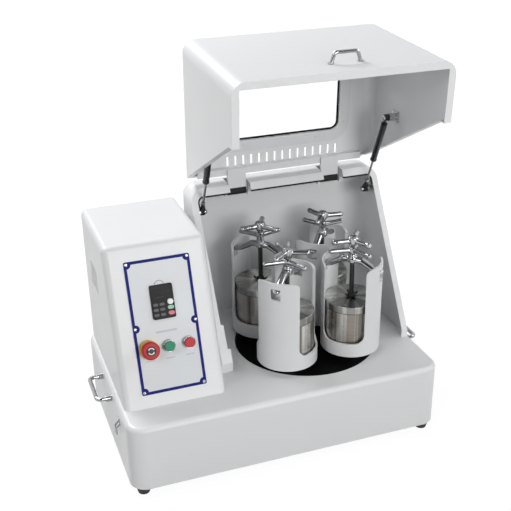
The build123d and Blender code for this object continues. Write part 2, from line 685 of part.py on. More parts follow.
def interlock_bracket():
    """The plate inside the left rim that carries the hood's safety switch."""
    low = CHAMBER_LEFT + RIM_WIDTH - INTERLOCK_THICK
    high = CHAMBER_LEFT + RIM_WIDTH + INTERLOCK_WIDTH
    top = DECK_Z + INTERLOCK_RISE
    middle = DECK_Z + INTERLOCK_FOOT_RISE
    back = SHEET + INTERLOCK_THICK
    strip = prism(
        [
            (rim_line(-SHEET, middle), middle),
            (rim_line(-SHEET, top), top),
            (rim_line(-SHEET - back, top), top),
            (rim_line(-SHEET - back, middle), middle),
        ],
        (low, high - INTERLOCK_WIDTH / 2),
    )
    foot = prism(
        [
            (RIM_FOOT_Y + SHEET, DECK_Z),
            (RIM_FOOT_Y + SHEET, DECK_Z + RIM_KNEE),
            (rim_line(-SHEET, middle), middle),
            (rim_line(-SHEET - back, middle), middle),
            (RIM_FOOT_Y + SHEET + back, DECK_Z + RIM_KNEE),
            (RIM_FOOT_Y + SHEET + back, DECK_Z),
        ],
        (low, high),
    )
    return strip + foot - (chamber_body(0, DECK_Z) - chamber_body(SHEET, DECK_Z - SHEET))


# ---------------------------------------------------------------- hood


def hood_body(margin):
    """The shut hood's outline moved in by margin."""
    foot = HOOD_FOOT_Z + margin
    top = HOOD_TOP - margin
    slant = HOOD_GAP + margin / sin(radians(RIM_SLOPE))
    knee_y = RIM_FOOT_Y - HOOD_GAP - margin
    points = [
        (HOOD_FRONT_Y + margin, foot),
        (HOOD_FRONT_Y + margin, top),
        (rim_line(slant, top), top),
        (knee_y, DECK_Z + RIM_KNEE),
        (knee_y, foot),
    ]
    shape = prism(points, (CHAMBER_LEFT + margin, CHAMBER_RIGHT - margin))
    front = shape.faces().sort_by(Axis.Y)[0]
    roof = shape.faces().sort_by(Axis.Z)[-1]
    soft = [edge for edge in front.edges() if edge.center().Z > foot + SHEET]
    soft += roof.edges().filter_by(Axis.Y)
    return fillet(soft, HOOD_EDGE_R - margin)


def hood_mouth():
    """The open side of the hood inside its rim."""
    front = HOOD_FRONT_Y + RIM_WIDTH
    top = HOOD_TOP - RIM_WIDTH
    inside = HOOD_GAP + RIM_WIDTH
    points = [
        (front, DECK_Z - RIM_WIDTH),
        (front, DECK_Z + 2 * RIM_WIDTH),
        (rim_line(inside, DECK_Z), DECK_Z + 2 * RIM_WIDTH),
        (rim_line(inside, top), top),
        (rim_line(0, top), top),
        (RIM_FOOT_Y + RIM_WIDTH, DECK_Z + RIM_KNEE),
        (RIM_FOOT_Y + RIM_WIDTH, DECK_Z - RIM_WIDTH),
    ]
    return prism(points, (CHAMBER_LEFT + RIM_WIDTH, CHAMBER_RIGHT - RIM_WIDTH))


def window_centre_y():
    return HOOD_REAR_Y - WINDOW_BACK - WINDOW_DEPTH / 2


def window_frame(outer, inner, z):
    """A rounded frame around the window, its edges moved out by outer and inner from the opening."""
    corner = WINDOW_CORNER_R + max(outer, -WINDOW_SEAL)
    sheet = RectangleRounded(WINDOW_WIDTH + 2 * outer, WINDOW_DEPTH + 2 * outer, corner)
    if inner is not None:
        sheet -= RectangleRounded(WINDOW_WIDTH + 2 * inner, WINDOW_DEPTH + 2 * inner, WINDOW_CORNER_R + inner)
    return Pos(WINDOW_CENTRE_X, window_centre_y(), z[0]) * extrude(sheet, z[1] - z[0])


def hinge_rail():
    """The folded edge that stiffens the hood's rear edge, shut position."""
    rear = HOOD_REAR_Y - SHEET
    inner = (CHAMBER_LEFT + CHAMBER_EDGE_R, CHAMBER_RIGHT - CHAMBER_EDGE_R)
    return block(inner, (rear - RAIL_HEIGHT, rear), (HOOD_TOP - SHEET - RAIL_DEPTH, HOOD_TOP - SHEET))


def hood_shell():
    shell = hood_body(0) - hood_body(SHEET) - hood_mouth() + hinge_rail()
    shell -= window_frame(0, None, (HOOD_TOP - SHEET, HOOD_TOP))
    for row in range(VENT_COUNT):
        x = VENT_CENTRE_X + (row - (VENT_COUNT - 1) / 2) * VENT_PITCH
        rear = HOOD_REAR_Y - VENT_BACK
        wide = (x - VENT_WIDTH / 2, x + VENT_WIDTH / 2)
        shell -= block(wide, (rear - VENT_LENGTH, rear), (HOOD_TOP - 2 * SHEET, HOOD_TOP + SHEET))
    return swung(shell)


def hood_window():
    top = HOOD_TOP - SHEET
    return swung(window_frame(PANE_LAP, None, (top - PANE_THICK, top)))


def window_seal():
    top = HOOD_TOP - SHEET
    return swung(window_frame(0, -WINDOW_SEAL, (top, HOOD_TOP + SHEET / 4)))


def window_retainer():
    top = HOOD_TOP - SHEET
    foot = top - PANE_THICK - RETAINER_LIP
    frame = window_frame(RETAINER_BORDER, PANE_LAP, (foot, top))
    frame += window_frame(RETAINER_BORDER, 0, (foot, foot + RETAINER_LIP))
    return swung(Compound([frame] + retainer_screws(foot)))


def retainer_screws(head):
    across = (WINDOW_WIDTH + RETAINER_BORDER) / 2
    deep = (WINDOW_DEPTH + RETAINER_BORDER) / 2
    places = [(sx * RETAINER_SCREW_X, sy * deep) for sx in (-1, 1) for sy in (-1, 1)]
    places += [(sx * across, sy * RETAINER_SCREW_Y) for sx in (-1, 1) for sy in (-1, 1)]
    x, y = WINDOW_CENTRE_X, window_centre_y()
    foot = head - SCREW_HEAD_H
    return [upright(x + dx, y + dy, (foot, head), SCREW_HEAD_R) for dx, dy in places]


def hood_handle():
    z = HOOD_FOOT_Z + GRIP_RISE
    wide, narrow = GRIP_SPAN / 2, GRIP_TOP_SPAN / 2
    out = HOOD_FRONT_Y - GRIP_REACH
    path = [(GRIP_X - wide, HOOD_FRONT_Y, z), (GRIP_X - narrow, out, z)]
    path += [(GRIP_X + narrow, out, z), (GRIP_X + wide, HOOD_FRONT_Y, z)]
    grip = bar(path, GRIP_BAR_R, 2 * GRIP_BAR_R)
    for side in (-1, 1):
        foot = Pos(GRIP_X + side * wide, HOOD_FRONT_Y - GRIP_FOOT_H / 2, z) * Rot(90, 0, 0)
        grip += foot * Cylinder(GRIP_FOOT_R, GRIP_FOOT_H)
    across = (GRIP_X - GRIP_SPAN, GRIP_X + GRIP_SPAN)
    grip -= block(across, (HOOD_FRONT_Y, HOOD_FRONT_Y + GRIP_REACH), (z - GRIP_SPAN, z + GRIP_SPAN))
    return swung(grip)


def hinge_arm(x):
    """An arm from the barrel on the pin to the hood's rail, in the open position."""
    wide = (x - ARM_WIDTH / 2, x + ARM_WIDTH / 2)
    near = HINGE_Y - ARM_BACK
    arm = block(wide, (near - ARM_THICK, near), (HINGE_Z + ARM_FOOT, HINGE_Z + ARM_LENGTH))
    arm += block(wide, (near - ARM_THICK + SHEET, near), (HINGE_Z, HINGE_Z + ARM_FOOT))
    arm += crosswise(wide, HINGE_Y, HINGE_Z, HINGE_BARREL_R)
    arm -= swung(hinge_rail())
    return arm - crosswise((wide[0] - SHEET, wide[1] + SHEET), HINGE_Y, HINGE_Z, HINGE_PIN_R + RUN_FIT)


def hinge_arms():
    return Compound([hinge_arm(x) for x in HINGE_XS])


def hinge_pins():
    reach = ARM_CLEAR + LUG_THICK
    return Compound([crosswise((x - reach, x + reach), HINGE_Y, HINGE_Z, HINGE_PIN_R) for x in HINGE_XS])


# ---------------------------------------------------------------- gas struts


def strut_place(x, along, shape):
    """A shape drawn along +Z put on a strut's line, at a distance from the chamber's pivot."""
    foot = Pos(x, *STRUT_FOOT) * Rot(STRUT_ANGLE - 90, 0, 0)
    return foot * Pos(0, 0, along) * shape


def eye(x, along):
    """The round end of a strut, about its pivot."""
    return strut_place(x, along, Rot(0, 90, 0) * Cylinder(STRUT_EYE_R, STRUT_EYE_WIDTH))


def strut_rods():
    rods = []
    for x in STRUT_XS:
        start = STUD_R + RUN_FIT + SHEET / 2
        length = STRUT_ROD_LENGTH - start
        rod = strut_place(x, start + length / 2, Cylinder(STRUT_ROD_R, length))
        rod += strut_place(x, STRUT_ROD_LENGTH, Cylinder(STRUT_TUBE_BORE - SLIDE_GAP, STRUT_PISTON))
        rod += eye(x, 0)
        rods.append(rod - strut_place(x, 0, Rot(0, 90, 0) * Cylinder(STUD_R + RUN_FIT, 2 * STRUT_EYE_WIDTH)))
    return Compound(rods)


def strut_tubes():
    tubes = []
    top = STRUT_LENGTH - STRUT_NECK
    foot = top - STRUT_TUBE_LENGTH
    for x in STRUT_XS:
        tube = strut_place(x, (foot + top) / 2, Cylinder(STRUT_TUBE_R, top - foot))
        inside = (foot + STRUT_GLAND, top - STRUT_GLAND / 2)
        tube -= strut_place(x, sum(inside) / 2, Cylinder(STRUT_TUBE_BORE, inside[1] - inside[0]))
        tube -= strut_place(x, foot, Cylinder(STRUT_ROD_R + RUN_FIT, 3 * STRUT_GLAND))
        tube += strut_place(x, top + STRUT_NECK / 2, Cylinder(STRUT_ROD_R, STRUT_NECK))
        tube += eye(x, STRUT_LENGTH)
        tubes.append(tube)
    return Compound(tubes)


def stud(x, place, through):
    """A pivot stud on a plate against the side wall; it runs through the eye or stops short of it."""
    side = 1 if x > CHAMBER_X else -1
    wall = CHAMBER_X + side * (CHAMBER_WIDTH / 2 - SHEET)
    plate_face = wall - side * STUD_PLATE
    half = STUD_PLATE_SIZE / 2
    y, z = place
    shape = block(sorted((wall, plate_face)), (y - half, y + half), (z - half, z + half))
    eye_face = x + side * (STRUT_EYE_WIDTH / 2 + FACE_GAP)
    shape += crosswise(sorted((plate_face, eye_face)), y, z, STUD_COLLAR_R)
    if through:
        tip = x - side * (STRUT_EYE_WIDTH / 2 + FACE_GAP)
        shape += crosswise(sorted((eye_face, tip)), y, z, STUD_R)
        shape += crosswise(sorted((tip, tip - side * SHEET)), y, z, STUD_R + SHEET)
    return shape


def chamber_studs():
    return Compound([stud(x, STRUT_FOOT, True) for x in STRUT_XS])


def hood_studs():
    return Compound([stud(x, STRUT_HEAD, False) for x in STRUT_XS])


# ---------------------------------------------------------------- drive


def toothed(phase):
    """A spur gear blank about the origin with a tooth centred at the angle phase."""
    pitch_angle = 2 * pi / TEETH
    flank = tan(radians(TOOTH_FLANK))
    points = []
    for tooth in range(TEETH):
        centre = radians(phase) + tooth * pitch_angle
        for side, order in ((-1, (-DEDENDUM, ADDENDUM)), (1, (ADDENDUM, -DEDENDUM))):
            for share in order:
                radius = PITCH_R + share * GEAR_MODULE
                half = TOOTH_SHARE * pitch_angle / 2 - share * GEAR_MODULE * flank / radius
                angle = centre + side * half
                points.append((radius * cos(angle), radius * sin(angle)))
    return extrude(make_face(Polyline(*points, close=True)), GEAR_THICK)


def station_angle(index):
    return ORBIT_START + index * 360 / STATIONS


def station(index):
    """The location of a station's axis at height 0, turned so that local +X points outward."""
    angle = radians(station_angle(index))
    return Pos(CHAMBER_X + ORBIT_R * cos(angle), ORBIT_R * sin(angle), 0) * Rot(0, 0, station_angle(index))


def sun_gear():
    gear = toothed(0) - Cylinder(SHAFT_R + 2 * SHEET, 4 * GEAR_THICK)
    return Pos(CHAMBER_X, 0, GEAR_FOOT) * gear


def planet_gear(index):
    """A geared spindle: gear below the turntable, flange above it."""
    pitch_angle = 360 / TEETH
    offset = -station_angle(index) % pitch_angle
    phase = 180 - offset + pitch_angle / 2
    gear = Pos(0, 0, GEAR_FOOT) * toothed(phase)
    gear += upright(0, 0, (GEAR_FOOT - SHEET, SEAT_Z), SPINDLE_R)
    gear += upright(0, 0, (TABLE_TOP + SHEET / 2, SEAT_Z), SPINDLE_FLANGE_R)
    gear += upright(0, 0, (GEAR_TOP, BOSS_FOOT - FACE_GAP), SPINDLE_R + 2 * SHEET)
    return station(index) * gear


def turntable():
    table = upright(0, 0, (TABLE_FOOT, TABLE_TOP), TABLE_R)
    table = fillet(table.edges().filter_by(GeomType.CIRCLE).sort_by(Axis.Z)[-1], SHEET)
    table = Pos(CHAMBER_X, 0, 0) * table
    for index in range(STATIONS):
        table += station(index) * upright(0, 0, (BOSS_FOOT, TABLE_TOP - SHEET), TABLE_BOSS_R)
        table -= station(index) * upright(0, 0, (BOSS_FOOT - SHEET, TABLE_TOP + SHEET), SPINDLE_R + RUN_FIT)
    return table - upright(CHAMBER_X, 0, (TABLE_FOOT - SHEET, TABLE_TOP + SHEET), SHAFT_R)


def grooved_pulley(radius, bore):
    """A V-belt pulley about the origin, with its belt groove at mid width."""
    half = PULLEY_WIDTH / 2
    lip = BELT_WIDTH / 2 + BELT_GAP
    deep = radius - BELT_DEPTH / 2 - BELT_GAP
    edge = radius + BELT_DEPTH / 2
    groove = [(edge, -lip), (deep, -lip + SHEET), (deep, lip - SHEET), (edge, lip)]
    wheel = make_face(Polyline((bore, -half), (edge, -half), *groove, (edge, half), (bore, half), close=True))
    return revolve(Plane.XZ * wheel, Axis.Z)


def main_shaft():
    """The shaft with its flange under the turntable, and the pulley keyed to its foot."""
    shaft = upright(CHAMBER_X, 0, (SHAFT_FOOT_Z, TABLE_TOP), SHAFT_R)
    shaft += upright(CHAMBER_X, 0, (GEAR_TOP + FACE_GAP, TABLE_FOOT), SHAFT_FLANGE_R)
    pulley = Pos(CHAMBER_X, 0, PULLEY_Z) * grooved_pulley(MAIN_PULLEY_R, SHAFT_R)
    return Compound([shaft, pulley])


def main_bearing_unit():
    """The housing on its carrier plate and posts under the deck, and two bearings in it."""
    top = GEAR_FOOT
    foot = top - HOUSING_LENGTH
    plate_top = top - SHEET
    unit = upright(CHAMBER_X, 0, (foot, top), HOUSING_R)
    y = BASE_DEPTH / 2 - CARRIER_POST_INSET
    x = CARRIER_WIDTH / 2 - CARRIER_POST_R
    reach = y + CARRIER_POST_R
    across = (CHAMBER_X - CARRIER_WIDTH / 2, CHAMBER_X + CARRIER_WIDTH / 2)
    unit += block(across, (-reach, reach), (plate_top - CARRIER_THICK, plate_top))
    for sx in (-1, 1):
        for sy in (-1, 1):
            post = (plate_top - CARRIER_THICK, DECK_Z - SHEET)
            unit += upright(CHAMBER_X + sx * x, sy * y, post, CARRIER_POST_R)
    unit -= upright(CHAMBER_X, 0, (foot - SHEET, top + SHEET), SHAFT_R + 2 * SHEET)
    solids = [unit]
    for low in (foot, top - BEARING_WIDTH - SHEET):
        seat = upright(CHAMBER_X, 0, (low, low + BEARING_WIDTH), BEARING_R)
        solids[0] = solids[0] - seat
        bore = upright(CHAMBER_X, 0, (low - SHEET, low + BEARING_WIDTH + SHEET), SHAFT_R + RUN_FIT)
        solids.append(seat - bore)
    return Compound(solids)


def drive_belt():
    """The V-belt round both pulleys."""
    loops = []
    for edge in (BELT_DEPTH / 2, -BELT_DEPTH / 2):
        ends = Pos(CHAMBER_X, 0) * Circle(MAIN_PULLEY_R + edge)
        ends += Pos(BOX_CENTRE_X, MOTOR_Y) * Circle(MOTOR_PULLEY_R + edge)
        loops.append(make_hull(ends.edges()))
    height = BELT_WIDTH - 2 * SHEET - 2 * BELT_GAP
    return Pos(0, 0, PULLEY_Z - height / 2) * extrude(loops[0] - loops[1], height)


def motor():
    """A flange motor that stands on the deck inside the control box, shaft down."""
    top = DECK_Z + MOTOR_RISE
    body = upright(0, 0, (DECK_Z, top), MOTOR_R)
    body = fillet(body.edges().filter_by(GeomType.CIRCLE).sort_by(Axis.Z)[-1], 4 * SHEET)
    square = (-MOTOR_FLANGE / 2, MOTOR_FLANGE / 2)
    body += block(square, square, (DECK_Z, DECK_Z + MOTOR_FLANGE_THICK))
    finned = (DECK_Z + 4 * MOTOR_FIN, top - 8 * MOTOR_FIN)
    for fin in range(MOTOR_FINS):
        rib = block((MOTOR_R - SHEET, MOTOR_R + MOTOR_FIN), (-SHEET / 2, SHEET / 2), finned)
        body += Rot(0, 0, fin * 360 / MOTOR_FINS) * rib
    body -= upright(0, 0, (DECK_Z - SHEET, DECK_Z + MOTOR_RISE / 2), MOTOR_SHAFT_R + RUN_FIT)
    return Pos(BOX_CENTRE_X, MOTOR_Y, 0) * body


def motor_pulley():
    """The motor's shaft with its small pulley."""
    shaft = upright(0, 0, (SHAFT_FOOT_Z, DECK_Z + MOTOR_RISE / 2 - SHEET), MOTOR_SHAFT_R)
    wheel = Pos(0, 0, PULLEY_Z) * grooved_pulley(MOTOR_PULLEY_R, MOTOR_SHAFT_R / 2)
    return Pos(BOX_CENTRE_X, MOTOR_Y, 0) * (shaft + wheel)


# ---------------------------------------------------------------- stations


def jar_holder(index):
    """A cup with two tall windows, whose posts point in and out and have a notch each."""
    cup = upright(0, 0, (SEAT_Z, HOLDER_TOP), HOLDER_R)
    cup -= upright(0, 0, (SEAT_Z + HOLDER_FLOOR, HOLDER_TOP + SHEET), HOLDER_R - HOLDER_WALL)
    half = HOLDER_R * sin(radians(WINDOW_ANGLE / 2))
    sill = SEAT_Z + HOLDER_SILL
    window = Pos(0, (sill + HOLDER_TOP) / 2) * Rectangle(2 * half, HOLDER_TOP - sill)
    window += Pos(0, HOLDER_TOP + HOLDER_HORN_R) * Rectangle(4 * half, 2 * HOLDER_HORN_R)
    low = window.vertices().sort_by(Axis.Y)[:2]
    window = fillet(low, HOLDER_SILL_R)
    at_top = [v for v in window.vertices() if abs(v.Y - HOLDER_TOP) < SHEET / 4]
    inner = [v for v in at_top if abs(abs(v.X) - half) < SHEET / 4]
    window = fillet(inner, HOLDER_HORN_R)
    cup -= extrude(Plane.XZ * window, 2 * HOLDER_R, both=True)
    notch_z = (NOTCH_TOP - NOTCH_HEIGHT, NOTCH_TOP)
    cup -= block((-2 * HOLDER_R, 2 * HOLDER_R), (-NOTCH_WIDTH / 2, NOTCH_WIDTH / 2), notch_z)
    return station(index) * cup


def jar(index):
    body = upright(0, 0, (JAR_Z, LID_Z), JAR_R)
    body = fillet(body.edges().filter_by(GeomType.CIRCLE).sort_by(Axis.Z)[0], SHEET)
    body -= upright(0, 0, (JAR_Z + JAR_FLOOR, LID_Z + SHEET), JAR_R - JAR_WALL)
    return station(index) * body


def jar_lid(index):
    lid = upright(0, 0, (LID_Z, LID_TOP), JAR_R)
    lid = fillet(lid.edges().filter_by(GeomType.CIRCLE).sort_by(Axis.Z)[-1], SHEET)
    lid += upright(0, 0, (LID_Z - JAR_SPIGOT, LID_Z), JAR_R - JAR_WALL - JAR_SPIGOT_GAP)
    return station(index) * lid


def crossbar(index):
    """The arched bar whose ends hook into the notches, with a threaded boss on top."""
    reach = HOLDER_R - SHEET / 2
    flat = YOKE_FLAT
    top, under = YOKE_TOP, YOKE_TOP - YOKE_THICK
    low, low_under = NOTCH_TOP, NOTCH_TOP - YOKE_THICK
    shoulder = HOLDER_R - HOLDER_WALL - 2 * SHEET
    points = [
        (-reach, low), (-shoulder, low), (-flat, top), (flat, top), (shoulder, low), (reach, low),
        (reach, low_under), (shoulder, low_under), (flat, under),
        (-flat, under), (-shoulder, low_under), (-reach, low_under),
    ]
    shape = extrude(Plane.XZ * make_face(Polyline(*points, close=True)), YOKE_WIDTH / 2, both=True)
    shape += upright(0, 0, (under, YOKE_TOP + YOKE_BOSS_H - YOKE_THICK), YOKE_BOSS_R)
    shape -= upright(0, 0, (under - SHEET, YOKE_TOP + YOKE_BOSS_H), CLAMP_SCREW_R + CLAMP_SCREW_PLAY)
    return station(index) * shape


def star(reach, hub_r, hub, arm_z, turn):
    """A round hub with three round arms, about the origin."""
    shape = upright(0, 0, hub, hub_r)
    shape = fillet(shape.edges().filter_by(GeomType.CIRCLE).sort_by(Axis.Z)[-1], SHEET)
    tip = reach - STAR_ARM_R
    arm = crosswise((0, tip), 0, arm_z, STAR_ARM_R) + Pos(tip, 0, arm_z) * Sphere(STAR_ARM_R)
    for step in range(STAR_ARMS):
        shape += Rot(0, 0, turn + step * 360 / STAR_ARMS) * arm
    return shape


def lock_star(index):
    foot = YOKE_TOP + YOKE_BOSS_H - YOKE_THICK
    hub = (foot, foot + LOCK_STAR_HUB_H)
    turn = LOCK_STAR_TURN[index] - station_angle(index)
    shape = star(LOCK_STAR_REACH, LOCK_STAR_HUB_R, hub, sum(hub) / 2, turn)
    return shape - upright(0, 0, (foot - SHEET, hub[1] + SHEET), CLAMP_SCREW_R + CLAMP_SCREW_PLAY)


def clamp_screw(index):
    """The screw with its star on top, its lock star, and the foot that it presses on the jar lid."""
    arms = LID_TOP + TOP_STAR_RISE
    hub = (arms - TOP_STAR_HUB_H / 2, arms + TOP_STAR_HUB_H / 2)
    screw = upright(0, 0, (LID_TOP + CLAMP_FOOT_H, hub[0]), CLAMP_SCREW_R)
    screw += star(TOP_STAR_REACH, TOP_STAR_HUB_R, hub, arms, TOP_STAR_TURN[index] - station_angle(index))
    foot = upright(0, 0, (LID_TOP, LID_TOP + CLAMP_FOOT_H), CLAMP_SCREW_R + SHEET)
    half = CLAMP_SCREW_R / 2
    for step in range(2):
        lobe = block((-CLAMP_FOOT_R, CLAMP_FOOT_R), (-half, half), (LID_TOP, LID_TOP + CLAMP_FOOT_H))
        foot += Rot(0, 0, step * 90) * lobe
    return station(index) * Compound([screw, foot, lock_star(index)])


# ---------------------------------------------------------------- write the nodes

NODES = {
    "base_shell": base_shell(),
    "base_bottom_plate": base_bottom_plate(),
    "base_feet": base_feet(),
    "carry_handles": carry_handles(),
    "side_hook": side_hook(),
    "control_box_shell": control_box_shell(),
    "control_panel_plate": control_panel_plate(),
    "panel_screws": panel_screws(),
    "keypad": keypad(),
    "speed_knob": speed_knob(),
    "control_collars": control_collars(),
    "estop_head": estop_head(),
    "start_button": push_button(0),
    "stop_button": push_button(BUTTON_PITCH),
    "inverter_drive": inverter_drive(),
    "chamber_shell": chamber_shell(),
    "chamber_seal": chamber_seal(),
    "interlock_bracket": interlock_bracket(),
    "hinge_pins": hinge_pins(),
    "chamber_studs": chamber_studs(),
    "hood_shell": hood_shell(),
    "hood_window": hood_window(),
    "window_seal": window_seal(),
    "window_retainer": window_retainer(),
    "hood_handle": hood_handle(),
    "hinge_arms": hinge_arms(),
    "hood_studs": hood_studs(),
    "strut_rods": strut_rods(),
    "strut_tubes": strut_tubes(),
    "turntable": turntable(),
    "main_shaft": main_shaft(),
    "main_bearing_unit": main_bearing_unit(),
    "sun_gear": sun_gear(),
    "drive_belt": drive_belt(),
    "motor": motor(),
    "motor_pulley": motor_pulley(),
}
for number in range(STATIONS):
    tag = str(number + 1)
    NODES["planet_gear_" + tag] = planet_gear(number)
    NODES["jar_holder_" + tag] = jar_holder(number)
    NODES["jar_" + tag] = jar(number)
    NODES["jar_lid_" + tag] = jar_lid(number)
    NODES["crossbar_" + tag] = crossbar(number)
    NODES["clamp_screw_" + tag] = clamp_screw(number)

for name, shape in NODES.items():
    export_step(shape, "parts/" + name + ".step")
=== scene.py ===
import bpy
import json
from math import cos, pi, radians, sin
from mathutils import Matrix, Vector


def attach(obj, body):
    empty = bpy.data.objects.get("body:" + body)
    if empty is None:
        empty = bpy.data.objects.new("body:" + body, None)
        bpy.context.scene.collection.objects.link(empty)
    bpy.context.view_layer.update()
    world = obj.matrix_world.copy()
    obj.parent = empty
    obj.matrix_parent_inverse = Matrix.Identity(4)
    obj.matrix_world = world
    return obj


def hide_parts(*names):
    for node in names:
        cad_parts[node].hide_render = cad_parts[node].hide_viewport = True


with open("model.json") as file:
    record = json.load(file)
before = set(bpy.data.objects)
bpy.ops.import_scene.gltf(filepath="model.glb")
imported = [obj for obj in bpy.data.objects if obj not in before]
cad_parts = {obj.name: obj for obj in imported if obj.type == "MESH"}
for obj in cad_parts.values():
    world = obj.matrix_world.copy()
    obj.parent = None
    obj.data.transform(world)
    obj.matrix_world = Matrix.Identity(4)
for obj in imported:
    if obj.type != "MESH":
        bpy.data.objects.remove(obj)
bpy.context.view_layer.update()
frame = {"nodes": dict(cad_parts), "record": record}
NODES = frame["nodes"]

# ---------------------------------------------------------------- materials


def link(tree, source, target):
    tree.links.new(source, target)


def noise(tree, coord, scale, detail=3.0, rough=0.5, stretch=None):
    tex = tree.nodes.new("ShaderNodeTexNoise")
    tex.inputs["Scale"].default_value = scale
    tex.inputs["Detail"].default_value = detail
    tex.inputs["Roughness"].default_value = rough
    if stretch:
        mapping = tree.nodes.new("ShaderNodeMapping")
        mapping.inputs["Scale"].default_value = stretch
        link(tree, coord, mapping.inputs["Vector"])
        coord = mapping.outputs["Vector"]
    link(tree, coord, tex.inputs["Vector"])
    return tex.outputs["Fac"]


def spread(tree, value, low, high, from_low=0.3, from_high=0.7):
    node = tree.nodes.new("ShaderNodeMapRange")
    node.inputs["From Min"].default_value = from_low
    node.inputs["From Max"].default_value = from_high
    node.inputs["To Min"].default_value = low
    node.inputs["To Max"].default_value = high
    link(tree, value, node.inputs["Value"])
    return node.outputs["Result"]


def tint(tree, fac, a, b):
    node = tree.nodes.new("ShaderNodeMix")
    node.data_type = "RGBA"
    node.inputs["A"].default_value = (*a, 1)
    node.inputs["B"].default_value = (*b, 1)
    link(tree, fac, node.inputs["Factor"])
    return node.outputs["Result"]


def bump(tree, height, distance, strength=1.0, normal=None):
    node = tree.nodes.new("ShaderNodeBump")
    node.inputs["Distance"].default_value = distance
    node.inputs["Strength"].default_value = strength
    link(tree, height, node.inputs["Height"])
    if normal is not None:
        link(tree, normal, node.inputs["Normal"])
    return node.outputs["Normal"]


def new_material(name):
    mat = bpy.data.materials.new(name)
    mat.use_nodes = True
    tree = mat.node_tree
    shader = tree.nodes["Principled BSDF"]
    coord = tree.nodes.new("ShaderNodeTexCoord").outputs["Object"]
    return mat, tree, shader, coord


def finish_material(name, colour, second, rough=(0.3, 0.42), metal=0.0, grain=900.0, grain_depth=0.000004,
                    patch=5.0, coat=0.0, coat_rough=0.12, specular=0.5):
    """A principled material whose colour, gloss and surface vary at real scales."""
    mat, tree, shader, coord = new_material(name)
    cloud = noise(tree, coord, patch, 3.0, 0.5)
    link(tree, tint(tree, spread(tree, cloud, 0.0, 1.0), colour, second), shader.inputs["Base Color"])
    fine = noise(tree, coord, grain, 2.0, 0.5)
    gloss = noise(tree, coord, patch * 3.0, 3.0, 0.6)
    link(tree, spread(tree, gloss, rough[0], rough[1]), shader.inputs["Roughness"])
    shader.inputs["Metallic"].default_value = metal
    shader.inputs["Specular IOR Level"].default_value = specular
    if coat:
        shader.inputs["Coat Weight"].default_value = coat
        shader.inputs["Coat Roughness"].default_value = coat_rough
    link(tree, bump(tree, fine, grain_depth), shader.inputs["Normal"])
    return mat


def about_axis(tree, coord, centre):
    """The direction of a point from an upright axis, so that a pattern changes with the angle alone."""
    steps = (("SUBTRACT", centre), ("MULTIPLY", (1, 1, 0)), ("NORMALIZE", None), ("ADD", centre))
    for operation, value in steps:
        node = tree.nodes.new("ShaderNodeVectorMath")
        node.operation = operation
        link(tree, coord, node.inputs[0])
        if value:
            node.inputs[1].default_value = value
        coord = node.outputs[0]
    return coord


def steel_painted_sheen_material(name, sheen_tones, centre, grain, rough=(0.24, 0.36), sheen_scale=26.0, depth=0.000006):
    """Turned steel about an upright axis: fine lines round it, and painted reflections along it: broad soft
    bands of painted sheen, dark, warm and bright, that change with the angle about the axis.
    """
    mat, tree, shader, coord = new_material(name)
    around = about_axis(tree, coord, centre)
    along = noise(tree, around, sheen_scale, 4.0, 0.6)
    band_noise = noise(tree, around, sheen_scale * 0.4, 3.0, 0.5)
    # painted reflection: dark and warm bands by angle, standing in for the surroundings seen in the steel
    painted_bands = tint(tree, spread(tree, band_noise, 0.0, 1.0), sheen_tones[0], sheen_tones[1])
    # painted highlight: bright streaks by angle, laid over the painted bands
    node = tree.nodes.new("ShaderNodeMix")
    node.data_type = "RGBA"
    link(tree, spread(tree, along, 0.0, 1.0, 0.42, 0.68), node.inputs["Factor"])
    link(tree, painted_bands, node.inputs["A"])
    node.inputs["B"].default_value = (*sheen_tones[2], 1)
    link(tree, node.outputs["Result"], shader.inputs["Base Color"])
    lines = noise(tree, coord, grain, 3.0, 0.6, (0.06, 0.06, 4.0))
    link(tree, spread(tree, lines, rough[0], rough[1]), shader.inputs["Roughness"])
    shader.inputs["Metallic"].default_value = 1.0
    link(tree, bump(tree, lines, depth), shader.inputs["Normal"])
    return mat


def glass_material(name):
    mat, tree, shader, coord = new_material(name)
    shader.inputs["Base Color"].default_value = (0.97, 0.985, 0.985, 1)
    shader.inputs["Transmission Weight"].default_value = 1.0
    shader.inputs["IOR"].default_value = 1.04
    smudge = noise(tree, coord, 25.0, 4.0, 0.6)
    link(tree, spread(tree, smudge, 0.0, 0.03), shader.inputs["Roughness"])
    link(tree, bump(tree, noise(tree, coord, 12.0), 0.00002), shader.inputs["Normal"])
    return mat


